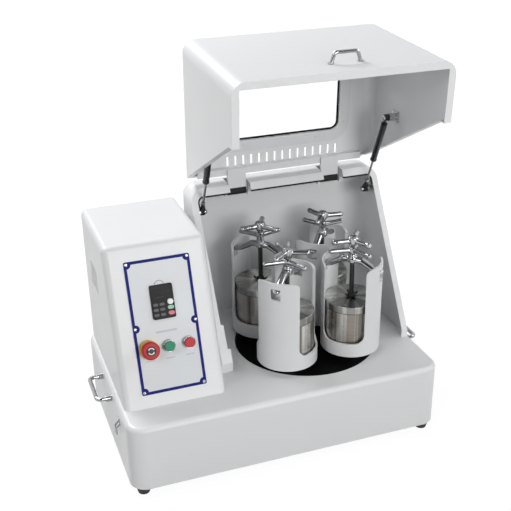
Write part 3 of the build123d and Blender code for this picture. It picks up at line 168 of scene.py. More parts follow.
POWDER = dict(rough=(0.36, 0.44), grain=420.0, grain_depth=0.000005, patch=2.5, coat=0.12, coat_rough=0.2)
PLASTIC = dict(rough=(0.3, 0.4), grain=700.0, grain_depth=0.000003, coat=0.15)
CHROME = dict(rough=(0.04, 0.10), metal=1.0, grain=300.0, grain_depth=0.0000015, patch=40.0)
# Colours of the painted sheen on the jars and lids: a warm and a dark band of painted reflection, and a
# bright painted highlight
JAR_SHEEN_TONES = ((0.33, 0.295, 0.255), (0.09, 0.086, 0.082), (0.78, 0.77, 0.75))
LID_SHEEN_TONES = ((0.36, 0.36, 0.345), (0.19, 0.195, 0.185), (0.74, 0.74, 0.71))
MATS = {
    "shell_white": finish_material(
        "shell_white", (0.78, 0.785, 0.79), (0.765, 0.77, 0.775), **POWDER),
    "bottom_zinc": finish_material(
        "bottom_zinc", (0.42, 0.43, 0.45), (0.34, 0.35, 0.37), metal=1.0, patch=60.0),
    "foot_rubber": finish_material(
        "foot_rubber", (0.012, 0.012, 0.012), (0.02, 0.02, 0.02), (0.6, 0.75), grain_depth=0.00002),
    "bright_chrome": finish_material(
        "bright_chrome", (0.46, 0.46, 0.47), (0.34, 0.34, 0.35), **CHROME),
    "panel_face": finish_material(
        "panel_face", (0.66, 0.68, 0.70), (0.64, 0.66, 0.68), (0.35, 0.45), coat=0.1),
    "panel_navy": finish_material(
        "panel_navy", (0.004, 0.008, 0.15), (0.006, 0.011, 0.18), (0.5, 0.6), specular=0.2),
    "label_blue": finish_material(
        "label_blue", (0.46, 0.50, 0.58), (0.52, 0.56, 0.63), (0.4, 0.5), patch=300.0),
    "screw_steel": finish_material(
        "screw_steel", (0.58, 0.58, 0.59), (0.48, 0.48, 0.49), (0.2, 0.32), 1.0, 700.0, patch=90.0),
    "knob_white": finish_material("knob_white", (0.80, 0.80, 0.79), (0.76, 0.76, 0.75), **PLASTIC),
    "keypad_grey": finish_material(
        "keypad_grey", (0.006, 0.006, 0.007), (0.009, 0.009, 0.011), (0.45, 0.55), specular=0.25),
    "keypad_mark": finish_material(
        "keypad_mark", (0.055, 0.055, 0.06), (0.075, 0.075, 0.08), (0.4, 0.5), patch=120.0),
    "display_dark": finish_material(
        "display_dark", (0.004, 0.003, 0.004), (0.007, 0.005, 0.006), (0.3, 0.4), specular=0.15),
    "key_green": finish_material("key_green", (0.16, 0.50, 0.28), (0.13, 0.45, 0.25), **PLASTIC),
    "key_red": finish_material("key_red", (0.62, 0.05, 0.10), (0.55, 0.04, 0.08), **PLASTIC),
    "stop_red": finish_material(
        "stop_red", (0.50, 0.006, 0.010), (0.43, 0.005, 0.008), (0.35, 0.45), specular=0.35),
    "go_green": finish_material(
        "go_green", (0.0, 0.23, 0.11), (0.0, 0.19, 0.09), (0.35, 0.45), specular=0.35),
    "collar_yellow": finish_material(
        "collar_yellow", (0.80, 0.50, 0.01), (0.74, 0.45, 0.01), **PLASTIC),
    "switch_black": finish_material(
        "switch_black", (0.014, 0.014, 0.016), (0.02, 0.02, 0.022), (0.4, 0.5)),
    "seal_rubber": finish_material(
        "seal_rubber", (0.004, 0.004, 0.004), (0.007, 0.007, 0.007), (0.65, 0.8), grain_depth=0.00001),
    "window_clear": glass_material("window_clear"),
    "retainer_grey": finish_material(
        "retainer_grey", (0.72, 0.73, 0.74), (0.70, 0.71, 0.72), **POWDER),
    "strut_black": finish_material(
        "strut_black", (0.006, 0.006, 0.007), (0.010, 0.010, 0.011), (0.22, 0.3), coat=0.3),
    "turntable_black": finish_material(
        "turntable_black", (0.0015, 0.0015, 0.0015), (0.0025, 0.0025, 0.0025),
        (0.5, 0.6), specular=0.06),
    "holder_white": finish_material(
        "holder_white", (0.72, 0.725, 0.73), (0.70, 0.705, 0.71), **POWDER),
    # jar and lid steel with painted reflections and sheen in their colour
    "jar_steel": steel_painted_sheen_material("jar_steel", JAR_SHEEN_TONES, (0, 0, 0), 420.0),
    "lid_steel": steel_painted_sheen_material("lid_steel", LID_SHEEN_TONES, (0, 0, 0), 300.0),
    "clamp_black": finish_material(
        "clamp_black", (0.006, 0.006, 0.006), (0.010, 0.010, 0.010), (0.28, 0.4), patch=60.0),
    "gear_steel": finish_material(
        "gear_steel", (0.42, 0.42, 0.43), (0.36, 0.36, 0.37), (0.25, 0.4), 1.0, 600.0, patch=40.0),
    "cast_grey": finish_material(
        "cast_grey", (0.10, 0.105, 0.11), (0.13, 0.135, 0.14), (0.5, 0.65), 0.0, 500.0, 0.00008, 40.0),
    "belt_rubber": finish_material(
        "belt_rubber", (0.01, 0.01, 0.01), (0.016, 0.016, 0.016), (0.6, 0.75)),
    "motor_alloy": finish_material(
        "motor_alloy", (0.40, 0.41, 0.43), (0.36, 0.37, 0.39), (0.4, 0.55), 1.0, 400.0, 0.00005, 40.0),
}

for entry in frame["record"]["subparts"]:
    node = NODES[entry["node"]]
    node.data.materials.clear()
    node.data.materials.append(MATS[entry["material_slot"]])


# ---------------------------------------------------------------- mesh helpers

MM = 0.001
END_TIP = 0.05  # size of a rounded end's last ring, as a share of the rod's


def add_object(name, mesh, slot, body, replaced=()):
    """A finished piece: its material is that of the record's slot, and it rides on a body."""
    obj = bpy.data.objects.new(name, mesh)
    bpy.context.scene.collection.objects.link(obj)
    mesh.materials.clear()
    mesh.materials.append(MATS[slot])
    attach(obj, body)
    if replaced:
        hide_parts(*replaced)
    return obj


def mesh_from(name, verts, faces, smooth=True):
    mesh = bpy.data.meshes.new(name)
    mesh.from_pydata([Vector(v) * MM for v in verts], [], faces)
    mesh.validate()
    if smooth:
        mesh.shade_smooth()
    return mesh


def lathe(profile, steps=48):
    """A closed body of revolution about Z from (radius, height) points, capped at both ends."""
    verts, faces = [], []
    for radius, height in profile:
        for step in range(steps):
            angle = 2 * pi * step / steps
            verts.append((radius * cos(angle), radius * sin(angle), height))
    for row in range(len(profile) - 1):
        for step in range(steps):
            a, b = row * steps + step, row * steps + (step + 1) % steps
            faces.append((a, b, b + steps, a + steps))
    faces.append(tuple(reversed(range(steps))))
    faces.append(tuple(range(len(verts) - steps, len(verts))))
    return verts, faces


def shrunk(size, share):
    return [value * max(share, END_TIP) for value in size]


def rod_along(points, sizes, steps=24, rounding=5):
    """A closed rod through points with an elliptical section (across, up) at each, and rounded ends."""
    points = [Vector(p) for p in points]
    rows = []
    first = (points[1] - points[0]).normalized()
    last = (points[-1] - points[-2]).normalized()
    for step in range(rounding):
        share, back = sin(pi / 2 * step / rounding), cos(pi / 2 * step / rounding)
        rows.append((points[0] - first * sizes[0][1] * back, first, shrunk(sizes[0], share)))
    for index, point in enumerate(points):
        before = points[max(index - 1, 0)]
        after = points[min(index + 1, len(points) - 1)]
        rows.append((point, (after - before).normalized(), sizes[index]))
    for step in range(rounding - 1, -1, -1):
        share, on = sin(pi / 2 * step / rounding), cos(pi / 2 * step / rounding)
        rows.append((points[-1] + last * sizes[-1][1] * on, last, shrunk(sizes[-1], share)))
    verts, faces = [], []
    for centre, along, size in rows:
        side = along.cross(Vector((0, 0, 1)))
        side = side.normalized() if side.length > 0.01 else Vector((1, 0, 0))
        up = side.cross(along)
        for step in range(steps):
            angle = 2 * pi * step / steps
            verts.append(centre + side * size[0] * cos(angle) + up * size[1] * sin(angle))
    for row in range(len(rows) - 1):
        for step in range(steps):
            a, b = row * steps + step, row * steps + (step + 1) % steps
            faces.append((a, b, b + steps, a + steps))
    faces.append(tuple(reversed(range(steps))))
    faces.append(tuple(range(len(verts) - steps, len(verts))))
    return verts, faces


def joined(parts):
    """One list of vertices and faces from several."""
    verts, faces = [], []
    for part_verts, part_faces in parts:
        start = len(verts)
        verts += [Vector(v) for v in part_verts]
        faces += [tuple(i + start for i in face) for face in part_faces]
    return verts, faces


def moved(part, matrix):
    verts, faces = part
    return [matrix @ Vector(v) for v in verts], faces


def cast_mesh(name, parts, voxel, rounds):
    """Parts run together as one casting: remeshed to a voxel size in mm and smoothed."""
    rough = mesh_from(name + "_rough", *joined(parts))
    obj = bpy.data.objects.new(name + "_rough", rough)
    bpy.context.scene.collection.objects.link(obj)
    remesh = obj.modifiers.new("one", "REMESH")
    remesh.mode = "VOXEL"
    remesh.voxel_size = voxel * MM
    remesh.use_smooth_shade = True
    relax = obj.modifiers.new("soft", "SMOOTH")
    relax.factor = 0.5
    relax.iterations = rounds
    graph = bpy.context.evaluated_depsgraph_get()
    mesh = bpy.data.meshes.new_from_object(obj.evaluated_get(graph))
    mesh.name = name
    bpy.data.objects.remove(obj)
    mesh.shade_smooth()
    return mesh


def placed(mesh, matrix):
    """A copy of a mesh turned and moved, matrix in metres."""
    copy = mesh.copy()
    copy.transform(matrix)
    return copy


def spin_z(degrees):
    return Matrix.Rotation(radians(degrees), 4, "Z")


def shift(x, y, z):
    return Matrix.Translation((x * MM, y * MM, z * MM))


def flat_mesh(name, loops, thickness):
    """Flat shape in X and Y from closed loops in mm, inner loops being holes, with a thickness along Z."""
    curve = bpy.data.curves.new(name, "CURVE")
    curve.dimensions = "2D"
    curve.fill_mode = "BOTH"
    curve.extrude = thickness * MM / 2
    for loop in loops:
        line = curve.splines.new("POLY")
        line.points.add(len(loop) - 1)
        for point, (x, y) in zip(line.points, loop):
            point.co = (x * MM, y * MM, 0, 1)
        line.use_cyclic_u = True
    obj = bpy.data.objects.new(name, curve)
    bpy.context.scene.collection.objects.link(obj)
    graph = bpy.context.evaluated_depsgraph_get()
    graph.update()
    mesh = bpy.data.meshes.new_from_object(obj.evaluated_get(graph))
    bpy.data.objects.remove(obj)
    mesh.name = name
    mesh.transform(Matrix.Translation((0, 0, thickness * MM / 2)))
    return mesh


def arc(x, y, radius, start, end, steps):
    """Points in mm along an arc, angles in degrees."""
    turn = [radians(start + (end - start) * step / steps) for step in range(steps + 1)]
    return [(x + radius * cos(a), y + radius * sin(a)) for a in turn]


def band(x, y, radius, width, start, end, steps=20):
    """The closed outline of an arc-shaped stripe."""
    outer = arc(x, y, radius + width / 2, start, end, steps)
    return outer + arc(x, y, radius - width / 2, end, start, steps)


def rounded_box(x, y, wide, high, corner):
    points = []
    for sx, sy, start in ((1, 1, 0), (-1, 1, 90), (-1, -1, 180), (1, -1, 270)):
        middle_x, middle_y = x + sx * (wide / 2 - corner), y + sy * (high / 2 - corner)
        points += arc(middle_x, middle_y, corner, start, start + 90, 6)
    return points


# ---------------------------------------------------------------- stations: stars, screws, crossbars, jars

ORBIT_R = 117.0
ORBIT_START = 136.6
TABLE_X = 124.0
LID_Z = 305.0
LID_TOP = 323.0
STAR_Z = 466.0
LOCK_Z = 442.5
YOKE_Z = 425.0
NOTCH_TOP = 404.0
TOP_STAR_TURN = (64.0, 97.0, 55.0, 111.0)
LOCK_STAR_TURN = (13.0, 55.0, 50.0, 5.0)
TOP_STAR = (51.0, 6.3, 6.7)  # an arm's reach, and its radius at the hub and at the tip
LOCK_STAR = (57.0, 5.9, 6.3)
TOP_HUB = [(2, -13.5), (7.5, -13.3), (9.2, -10), (11.6, -6), (12.6, 0)]
TOP_HUB += [(12.5, 6), (11.9, 8.6), (10.6, 9.6), (2, 9.9)]
LOCK_HUB = [(2, -8.5), (8.4, -8.4), (9.4, -4), (9.6, 2), (8.6, 6.5), (7.4, 8.4), (2, 8.6)]
HUB_CAP = [(1, 9.2), (9.4, 9.2), (9.8, 9.9), (9.2, 10.5), (1, 10.7)]
LID_SEAM = [(61.5, -0.6), (63.62, -0.6), (63.62, 0.6), (61.5, 0.6)]
THREAD = (5.9, 0.7, 2.5)  # radius, depth, pitch
THREAD_FOOT, THREAD_HEAD = LID_TOP + 8, STAR_Z - 10
# Scales of the fine turning lines and of the painted sheen bands round each jar and lid
JAR_LINES, JAR_SHEEN_SCALE = 420.0, 2.4
LID_LINES, LID_SHEEN_SCALE = 300.0, 1.5


def star_arm(reach, start_r, tip_r, turn):
    points = [(0, 0, 0), (reach * 0.35, 0, 0), (reach * 0.75, 0, 0), (reach - tip_r * 0.8, 0, 0)]
    sizes = [(r, r) for r in (start_r * 1.2, start_r, start_r * 0.94, tip_r)]
    return moved(rod_along(points, sizes), Matrix.Rotation(radians(turn), 4, "Z"))


def star_mesh(name, reach, arm_r, tip_r, hub):
    parts = [lathe(hub)] + [star_arm(reach, arm_r, tip_r, 120 * k) for k in range(3)]
    return cast_mesh(name, parts, 0.8, 14)


def crossbar_mesh():
    level = YOKE_Z - 6.0
    low = NOTCH_TOP - 6.2
    points = [(-69.5, 0, low), (-61, 0, low), (-52, 0, low + 3), (-22, 0, level - 1), (0, 0, level)]
    sizes = [(9.0, 5.9), (8.8, 6.0), (8.6, 6.6), (9.2, 8.2), (10.2, 8.8)]
    points += [(-x, y, z) for x, y, z in reversed(points[:-1])]
    sizes += list(reversed(sizes[:-1]))
    boss = [(4, 410.5), (8.6, 411), (9.6, 414), (10.2, 424), (9.0, 431.5), (8.2, 433.4), (4, 433.8)]
    collar = [(4, level - 8), (12.5, level - 6.5), (13.5, level), (12.0, level + 6.5), (4, level + 8)]
    return cast_mesh("crossbar_cast", [rod_along(points, sizes), lathe(boss), lathe(collar)], 0.9, 12)


def thread_mesh(radius, depth, pitch, low, high, steps=20):
    """A threaded rod: its radius follows a helix."""
    rows = int((high - low) / (pitch / 5))
    verts, faces = [], []
    for row in range(rows + 1):
        z = low + (high - low) * row / rows
        for step in range(steps):
            phase = (z / pitch - step / steps) % 1.0
            r = radius - depth * abs(2 * phase - 1)
            angle = 2 * pi * step / steps
            verts.append((r * cos(angle), r * sin(angle), z))
    for row in range(rows):
        for step in range(steps):
            a, b = row * steps + step, row * steps + (step + 1) % steps
            faces.append((a, b, b + steps, a + steps))
    faces.append(tuple(reversed(range(steps))))
    faces.append(tuple(range(len(verts) - steps, len(verts))))
    return mesh_from("thread", verts, faces)


def crown_mesh():
    """The dark foot of the clamp: a collar with four upturned lobes."""
    parts = [lathe([(5, 0.2), (9.5, 0.2), (10, 2), (9, 7.5), (7.5, 9), (5, 9)], 32)]
    for k in range(4):
        points = [(4, 0, 2.8), (9, 0, 2.6), (13.5, 0, 4.2), (16.4, 0, 7.6)]
        sizes = [(3.6, 2.4), (3.4, 2.4), (3.2, 2.2), (2.4, 1.4)]
        parts.append(moved(rod_along(points, sizes, 16, 4), Matrix.Rotation(radians(45 + 90 * k), 4, "Z")))
    return cast_mesh("crown_cast", parts, 0.6, 5)


def build_stations():
    top_star = star_mesh("top_star_cast", *TOP_STAR, TOP_HUB)
    lock_star = star_mesh("lock_star_cast", *LOCK_STAR, LOCK_HUB)
    crossbar = crossbar_mesh()
    thread = thread_mesh(*THREAD, THREAD_FOOT, THREAD_HEAD)
    crown = crown_mesh()
    cap = mesh_from("hub_cap", *lathe(HUB_CAP, 40))
    groove = mesh_from("lid_seam", *lathe(LID_SEAM, 96))
    for index in range(4):
        tag = str(index + 1)
        angle = ORBIT_START + 90 * index
        x = TABLE_X + ORBIT_R * cos(radians(angle))
        y = ORBIT_R * sin(radians(angle))
        turning, climbing, spinning = "clamp_turn_" + tag, "clamp_bar_" + tag, "station_" + tag
        at = shift(x, y, STAR_Z) @ spin_z(TOP_STAR_TURN[index])
        screw, bar = ["clamp_screw_" + tag], ["crossbar_" + tag]
        add_object("top_star_" + tag, placed(top_star, at), "bright_chrome", turning, screw)
        add_object("star_cap_" + tag, placed(cap, at), "lid_steel", turning)
        at = shift(x, y, LOCK_Z) @ spin_z(LOCK_STAR_TURN[index])
        add_object("lock_star_" + tag, placed(lock_star, at), "bright_chrome", turning)
        add_object("screw_thread_" + tag, placed(thread, shift(x, y, 0)), "clamp_black", turning)
        at = shift(x, y, LID_TOP) @ spin_z(LOCK_STAR_TURN[index])
        add_object("screw_crown_" + tag, placed(crown, at), "clamp_black", turning)
        at = shift(x, y, 0) @ spin_z(angle)
        add_object("crossbar_cast_" + tag, placed(crossbar, at), "bright_chrome", climbing, bar)
        at = shift(x, y, LID_Z)
        add_object("lid_seam_" + tag, placed(groove, at), "clamp_black", spinning)
        # each jar and lid gets its own steel with painted sheen, centred on its own axis
        axis = (x * MM, y * MM, 0)
        steel = steel_painted_sheen_material("jar_steel_" + tag, JAR_SHEEN_TONES, axis, JAR_LINES, sheen_scale=JAR_SHEEN_SCALE)
        NODES["jar_" + tag].data.materials[0] = steel
        steel = steel_painted_sheen_material("lid_steel_" + tag, LID_SHEEN_TONES, axis, LID_LINES, sheen_scale=LID_SHEEN_SCALE)
        NODES["jar_lid_" + tag].data.materials[0] = steel


# ---------------------------------------------------------------- control panel

PANEL_LEAN = radians(20)
PLATE_W, PLATE_H, PLATE_FOOT = 148.0, 297.0, 29.0
BUTTON_UP, BUTTON_PITCH = 130.0, 45.5
KEYPAD_UP = 229.0
BOX_X, BOX_FRONT_Y, DECK_Z = -249.0, -159.0, 180.0  # the foot of the leaning front, at its middle
PLATE_OUT, KEYPAD_OUT, STOP_OUT = 2.0, 8.0, 33.0
SCREW_INSET, BORDER, LOBE_R = 6.0, 7.0, 9.0
LABEL_DROP, KEYPAD_LABEL_DROP = 27.5, 66.0
STOP_DISC = [(1, -0.2), (10.4, -0.2), (10.8, 0.15), (10.2, 0.5), (5, 0.75), (1, 0.8)]
ARROW_R, ARROW_WIDTH, ARROW_WING, ARROW_OUT = 6.6, 2.2, 2.8, 0.62
BEZEL_RING = [(11.9, 8.6), (13.2, 8.8), (13.9, 9.5), (13.4, 10.3), (12.4, 10.5), (11.9, 10.2)]
BEZEL_OUT = 1.6


def panel_matrix(across, up, out):
    """Takes a shape drawn in X and Y onto the leaning front, its Z pointing out."""
    c, s = cos(PANEL_LEAN), sin(PANEL_LEAN)
    place = Vector((BOX_X + across, BOX_FRONT_Y + up * s - out * c, DECK_Z + up * c + out * s)) * MM
    turn = Matrix(((1, 0, 0), (0, s, -c), (0, c, s))).to_4x4()
    return Matrix.Translation(place) @ turn


def border_loops():
    """The dark border of the plate: outer edge, and inner edge with a lobe about each screw."""
    w, h = PLATE_W / 2, PLATE_H / 2
    x, y, lobe = w - BORDER, h - BORDER, LOBE_R
    inner = arc(x, y, lobe, 180, 270, 8)
    inner += arc(x, 0, lobe, 90, 270, 16)
    inner += arc(x, -y, lobe, 90, 180, 8)
    inner += arc(-x, -y, lobe, 0, 90, 8)
    inner += arc(-x, 0, lobe, -90, 90, 16)
    inner += arc(-x, y, lobe, -90, 0, 8)
    return [rounded_box(0, 0, PLATE_W - 0.8, PLATE_H - 0.8, 3.6), inner]


def screw_head():
    """A pan head with a cross recess, its underside at Z 0."""
    parts = [lathe([(1, 0), (3.7, 0), (3.75, 0.5), (3.5, 1.4), (2.8, 2.1), (1.8, 2.5), (0.6, 2.6)], 28)]
    mesh = mesh_from("screw_head", *joined(parts))
    cutter_parts = []
    for turn in (0, 90):
        box = [(-2.2, -0.45, 1.3), (2.2, -0.45, 1.3), (2.2, 0.45, 1.3), (-2.2, 0.45, 1.3)]
        box += [(px * 1.05, py * 1.2, 3.2) for px, py, _ in box]
        sides = [(3, 2, 1, 0), (4, 5, 6, 7), (0, 1, 5, 4), (1, 2, 6, 5), (2, 3, 7, 6), (3, 0, 4, 7)]
        cutter_parts.append(moved((box, sides), Matrix.Rotation(radians(turn), 4, "Z")))
    head = bpy.data.objects.new("screw_head", mesh)
    bpy.context.scene.collection.objects.link(head)
    cutters = []
    for number, part in enumerate(cutter_parts):
        cutter = bpy.data.objects.new("recess_" + str(number), mesh_from("recess", *part, smooth=False))
        bpy.context.scene.collection.objects.link(cutter)
        cut = head.modifiers.new("cut", "BOOLEAN")
        cut.object = cutter
        cut.solver = "EXACT"
        cutters.append(cutter)
    graph = bpy.context.evaluated_depsgraph_get()
    graph.update()
    result = bpy.data.meshes.new_from_object(head.evaluated_get(graph))
    for obj in [head] + cutters:
        bpy.data.objects.remove(obj)
    return result


def build_panel():
    middle = PLATE_FOOT + PLATE_H / 2
    border = flat_mesh("panel_border", border_loops(), 0.15)
    add_object("panel_border", placed(border, panel_matrix(0, middle, PLATE_OUT)), "panel_navy", "frame")
    head = screw_head()
    rows = (PLATE_FOOT + SCREW_INSET, middle, PLATE_FOOT + PLATE_H - SCREW_INSET)
    places = [(sx * (PLATE_W / 2 - SCREW_INSET), up) for sx in (-1, 1) for up in rows]
    for number, (across, up) in enumerate(places, 1):
        turned = panel_matrix(across, up, PLATE_OUT) @ spin_z(17 * number)
        name = "panel_screw_" + str(number)
        add_object(name, placed(head, turned), "screw_steel", "frame", ["panel_screws"])
    crest = flat_mesh("keypad_crest", [band(0, 0, 10.5, 1.2, 12, 168)], 0.1)
    at = panel_matrix(-2, KEYPAD_UP + 36.5, PLATE_OUT)
    add_object("keypad_crest", placed(crest, at), "cast_grey", "frame")
    lamps = [rounded_box(-15 + 5.4 * k, 0, 2.6, 1.1, 0.5) for k in range(4)]
    lamp = flat_mesh("keypad_lamps", lamps, 0.12)
    at = panel_matrix(0, KEYPAD_UP + 10.5, KEYPAD_OUT)
    add_object("keypad_lamps", placed(lamp, at), "keypad_mark", "frame")
    strip = flat_mesh("label_keypad", [rounded_box(0, 0, 48.0, 4.4, 1.6)], 0.1)
    at = panel_matrix(0, KEYPAD_UP - KEYPAD_LABEL_DROP, PLATE_OUT)
    add_object("label_keypad", placed(strip, at), "label_blue", "frame")
    for number, across in enumerate((-BUTTON_PITCH, 0.0, BUTTON_PITCH), 1):
        name = "label_button_" + str(number)
        strip = flat_mesh(name, [rounded_box(0, 0, 20.0, 2.8, 1.2)], 0.1)
        at = panel_matrix(across, BUTTON_UP - LABEL_DROP, PLATE_OUT)
        add_object(name, placed(strip, at), "label_blue", "frame")


def around_stop(radius, degrees):
    return radius * cos(radians(degrees)), radius * sin(radians(degrees))


def build_buttons():
    across, up = -BUTTON_PITCH, BUTTON_UP
    disc = mesh_from("stop_disc", *lathe(STOP_DISC, 48))
    add_object("stop_disc", placed(disc, panel_matrix(across, up, STOP_OUT)), "switch_black", "estop")
    marks = []
    for start in (20, 200):
        marks.append(band(0, 0, ARROW_R, ARROW_WIDTH, start, start + 105))
        wings = [around_stop(ARROW_R + side * ARROW_WING, start + 104) for side in (-1, 1)]
        marks.append(wings + [around_stop(ARROW_R, start + 142)])
    for number, loop in enumerate(marks, 1):
        arrow = flat_mesh("stop_arrow", [loop], 0.12)
        at = panel_matrix(across, up, STOP_OUT + ARROW_OUT)
        add_object("stop_arrow_" + str(number), placed(arrow, at), "knob_white", "estop")
    ring = mesh_from("bezel_ring", *lathe(BEZEL_RING, 64))
    for number, place in enumerate((0.0, BUTTON_PITCH), 1):
        at = panel_matrix(place, up, BEZEL_OUT)
        add_object("bezel_ring_" + str(number), placed(ring, at), "bright_chrome", "frame")


def paint(node, pick):
    """Gives each face of a CAD node the slot that pick returns for its centre, or leaves the node's own."""
    obj = NODES[node]
    slots = {}
    for face in obj.data.polygons:
        name = pick(face.center / MM, face.normal)
        if name is None:
            continue
        if name not in slots:
            obj.data.materials.append(MATS[name])
            slots[name] = len(obj.data.materials) - 1
        face.material_index = slots[name]


def on_panel(point):
    """A point as (across, up, out) on the leaning front, in mm."""
    c, s = cos(PANEL_LEAN), sin(PANEL_LEAN)
    x, y, z = point.x - BOX_X, point.y - BOX_FRONT_Y, point.z - DECK_Z
    return x, y * s + z * c, -y * c + z * s


SCREEN_HALF, SCREEN_LOW, SCREEN_HIGH = 19.0, 15.5, 30.2  # on the keypad, from its middle
SCREEN_FLOOR, SCREEN_LIP = 6.5, 7.4
KEYS_OUT, RUN_KEYS_ACROSS, STOP_KEY_TOP = 8.02, 5.0, -20.5
COLLARS_FROM, COLLAR_OUT = -22.0, 1.9  # the two bezels lie to the right of this line
# The first height is where painted shade ends on the hinge arms: their faces below it are painted black.
# Below the second, the strut rods are black.
ARM_SHADE_TOP, ROD_END_TOP = 543.8, 512.0


def keypad_paint(point, normal):
    """The screen, the run key and the stop key, and the other keys."""
    across, up, out = on_panel(point)
    up -= KEYPAD_UP
    if abs(across) < SCREEN_HALF and SCREEN_LOW < up < SCREEN_HIGH and SCREEN_FLOOR < out < SCREEN_LIP:
        return "display_dark"
    if out > KEYS_OUT and up < 0:
        if across > RUN_KEYS_ACROSS:
            return "key_green" if up > STOP_KEY_TOP else "key_red"
        return "keypad_mark"
    return None


def collar_paint(point, normal):
    across, up, out = on_panel(point)
    return "bright_chrome" if across > COLLARS_FROM and out > COLLAR_OUT else None


def build_paint():
    paint("keypad", keypad_paint)
    paint("control_collars", collar_paint)
    # painted shade: the foot of each hinge arm takes the seal's black rubber where the arm's bottom lies in
    # shadow, carrying on the seal's black line
    paint("hinge_arms", lambda p, n: "seal_rubber" if p.z < ARM_SHADE_TOP else None)
    paint("strut_rods", lambda p, n: "strut_black" if p.z < ROD_END_TOP else None)


# ---------------------------------------------------------------- struts and small things


def ball_mesh(radius):
    steps = [(radius * sin(pi * k / 12), -radius * cos(pi * k / 12)) for k in range(1, 12)]
    return lathe([(0.3, -radius)] + steps + [(0.3, radius)], 28)


STRUT_FOOT, STRUT_HEAD = (128.0, 503.0), (31.0, 713.0)  # (y, z) of the two ends, hood open
STRUT_TUBE = 131.0  # from the head down to the tube's mouth
SOCKET = [(3.2, 3), (6.6, 4), (7.0, 8), (6.8, 13), (5.4, 16), (4.6, 21), (4.4, 25), (3.1, 26)]
NUT = [(3.2, 26), (5.6, 26.3), (5.9, 28), (5.6, 30.2), (3.2, 30.6)]
GLAND = [(7.2, -3), (8.1, -2.4), (8.1, 2.4), (7.2, 3)]
FOOT_BALL_R, HEAD_BALL_R, HEAD_BALL_OUT = 6.4, 5.6, 4.4


def build_struts():
    along = Vector((0, STRUT_HEAD[0] - STRUT_FOOT[0], STRUT_HEAD[1] - STRUT_FOOT[1])).normalized()
    turn = Vector((0, 0, 1)).rotation_difference(along).to_matrix().to_4x4()
    mouth = Vector((0, *STRUT_HEAD)) - along * STRUT_TUBE
    for tag, x, side in (("left", -90.0, -1), ("right", 338.0, 1)):
        rod, tube = "strut_rod_pair", "strut_tube_pair"
        at = shift(x, *STRUT_FOOT) @ turn
        socket = mesh_from("socket", *lathe(SOCKET, 32))
        add_object("strut_socket_" + tag, placed(socket, at), "strut_black", rod)
        nut = mesh_from("nut", *lathe(NUT, 6), smooth=False)
        add_object("strut_nut_" + tag, placed(nut, at), "screw_steel", rod)
        ball = moved(ball_mesh(FOOT_BALL_R), Matrix.Translation((-side * FOOT_BALL_R, 0, 0)))
        at = shift(x, *STRUT_FOOT)
        add_object("strut_ball_" + tag, placed(mesh_from("ball", *ball), at), "bright_chrome", "frame")
        gland = mesh_from("gland", *lathe(GLAND, 40))
        at = shift(x, mouth.y, mouth.z) @ turn
        add_object("strut_gland_" + tag, placed(gland, at), "strut_black", tube)
        ball = moved(ball_mesh(HEAD_BALL_R), Matrix.Translation((-side * HEAD_BALL_OUT, 0, 0)))
        at = shift(x, *STRUT_HEAD)
        add_object("strut_head_ball_" + tag, placed(mesh_from("ball", *ball), at), "bright_chrome", tube)


def soften(node, width, angle=35):
    """Rounds a CAD node's sharp edges a little, so that they catch the light."""
    bevel = NODES[node].modifiers.new("edge", "BEVEL")
    bevel.width = width * MM
    bevel.segments = 2
    bevel.limit_method = "ANGLE"
    bevel.angle_limit = radians(angle)
    bevel.harden_normals = False


build_stations()
build_panel()
build_buttons()
build_struts()
build_paint()
HOLDER_EDGE, PLATE_EDGE = 0.7, 0.4
for k in range(1, 5):
    soften("jar_holder_" + str(k), HOLDER_EDGE)
for node in ("interlock_bracket", "control_panel_plate"):
    soften(node, PLATE_EDGE)


# ---------------------------------------------------------------- camera, lights, floor


CAMERA_AT = (-0.639994816, -1.8054759, 1.31044797)
CAMERA_YAW, CAMERA_PITCH, CAMERA_ROLL = 0.340096736, 0.44968743, 0.0152617227
FOCAL_PX, IMAGE_PX, SENSOR_MM = 904.355375, 511, 36.0
AXIS_PX = (256.139, 271.951)  # where the lens's axis meets the picture
FAR_CLIP = 200

WORLD_LIGHT = 0.06
WORLD_TINT = (0.94, 0.97, 1.0, 1)
ROOM_SIDE = (-0.30, -0.93, 0.20)  # where the dim part of the room lies
ROOM_BRIGHT, ROOM_DIM = (0.95, 0.97, 1.0), (0.05, 0.052, 0.058)
ROOM_EDGE = (-0.05, 0.75)

FLOOR_HALF = 60.0
FLOOR_GREY = 0.32
GLOW_NEAR, GLOW_FAR = 1.25, 1.37
GLOW_FROM, GLOW_TO = 0.4, 1.5  # metres from the object
GLOW_SHARE = 0.75

LIGHTS = (  # name, place, what it looks at, size, watts
    ("key", (-2.4, -1.7, 2.3), (0, 0, 0.4), (1.6, 1.6), 26),
    ("fill", (0.6, -3.2, 1.5), (0.1, 0, 0.35), (1.6, 1.2), 59),
    ("right", (2.4, -0.8, 2.0), (0, 0, 0.4), (1.6, 1.2), 24),
    ("left", (-3.0, -0.2, 1.1), (0, 0, 0.4), (1.4, 1.4), 7),
    ("back", (-0.9, 1.6, 2.4), (-0.2, 0, 0.5), (1.4, 1.4), 58),
)


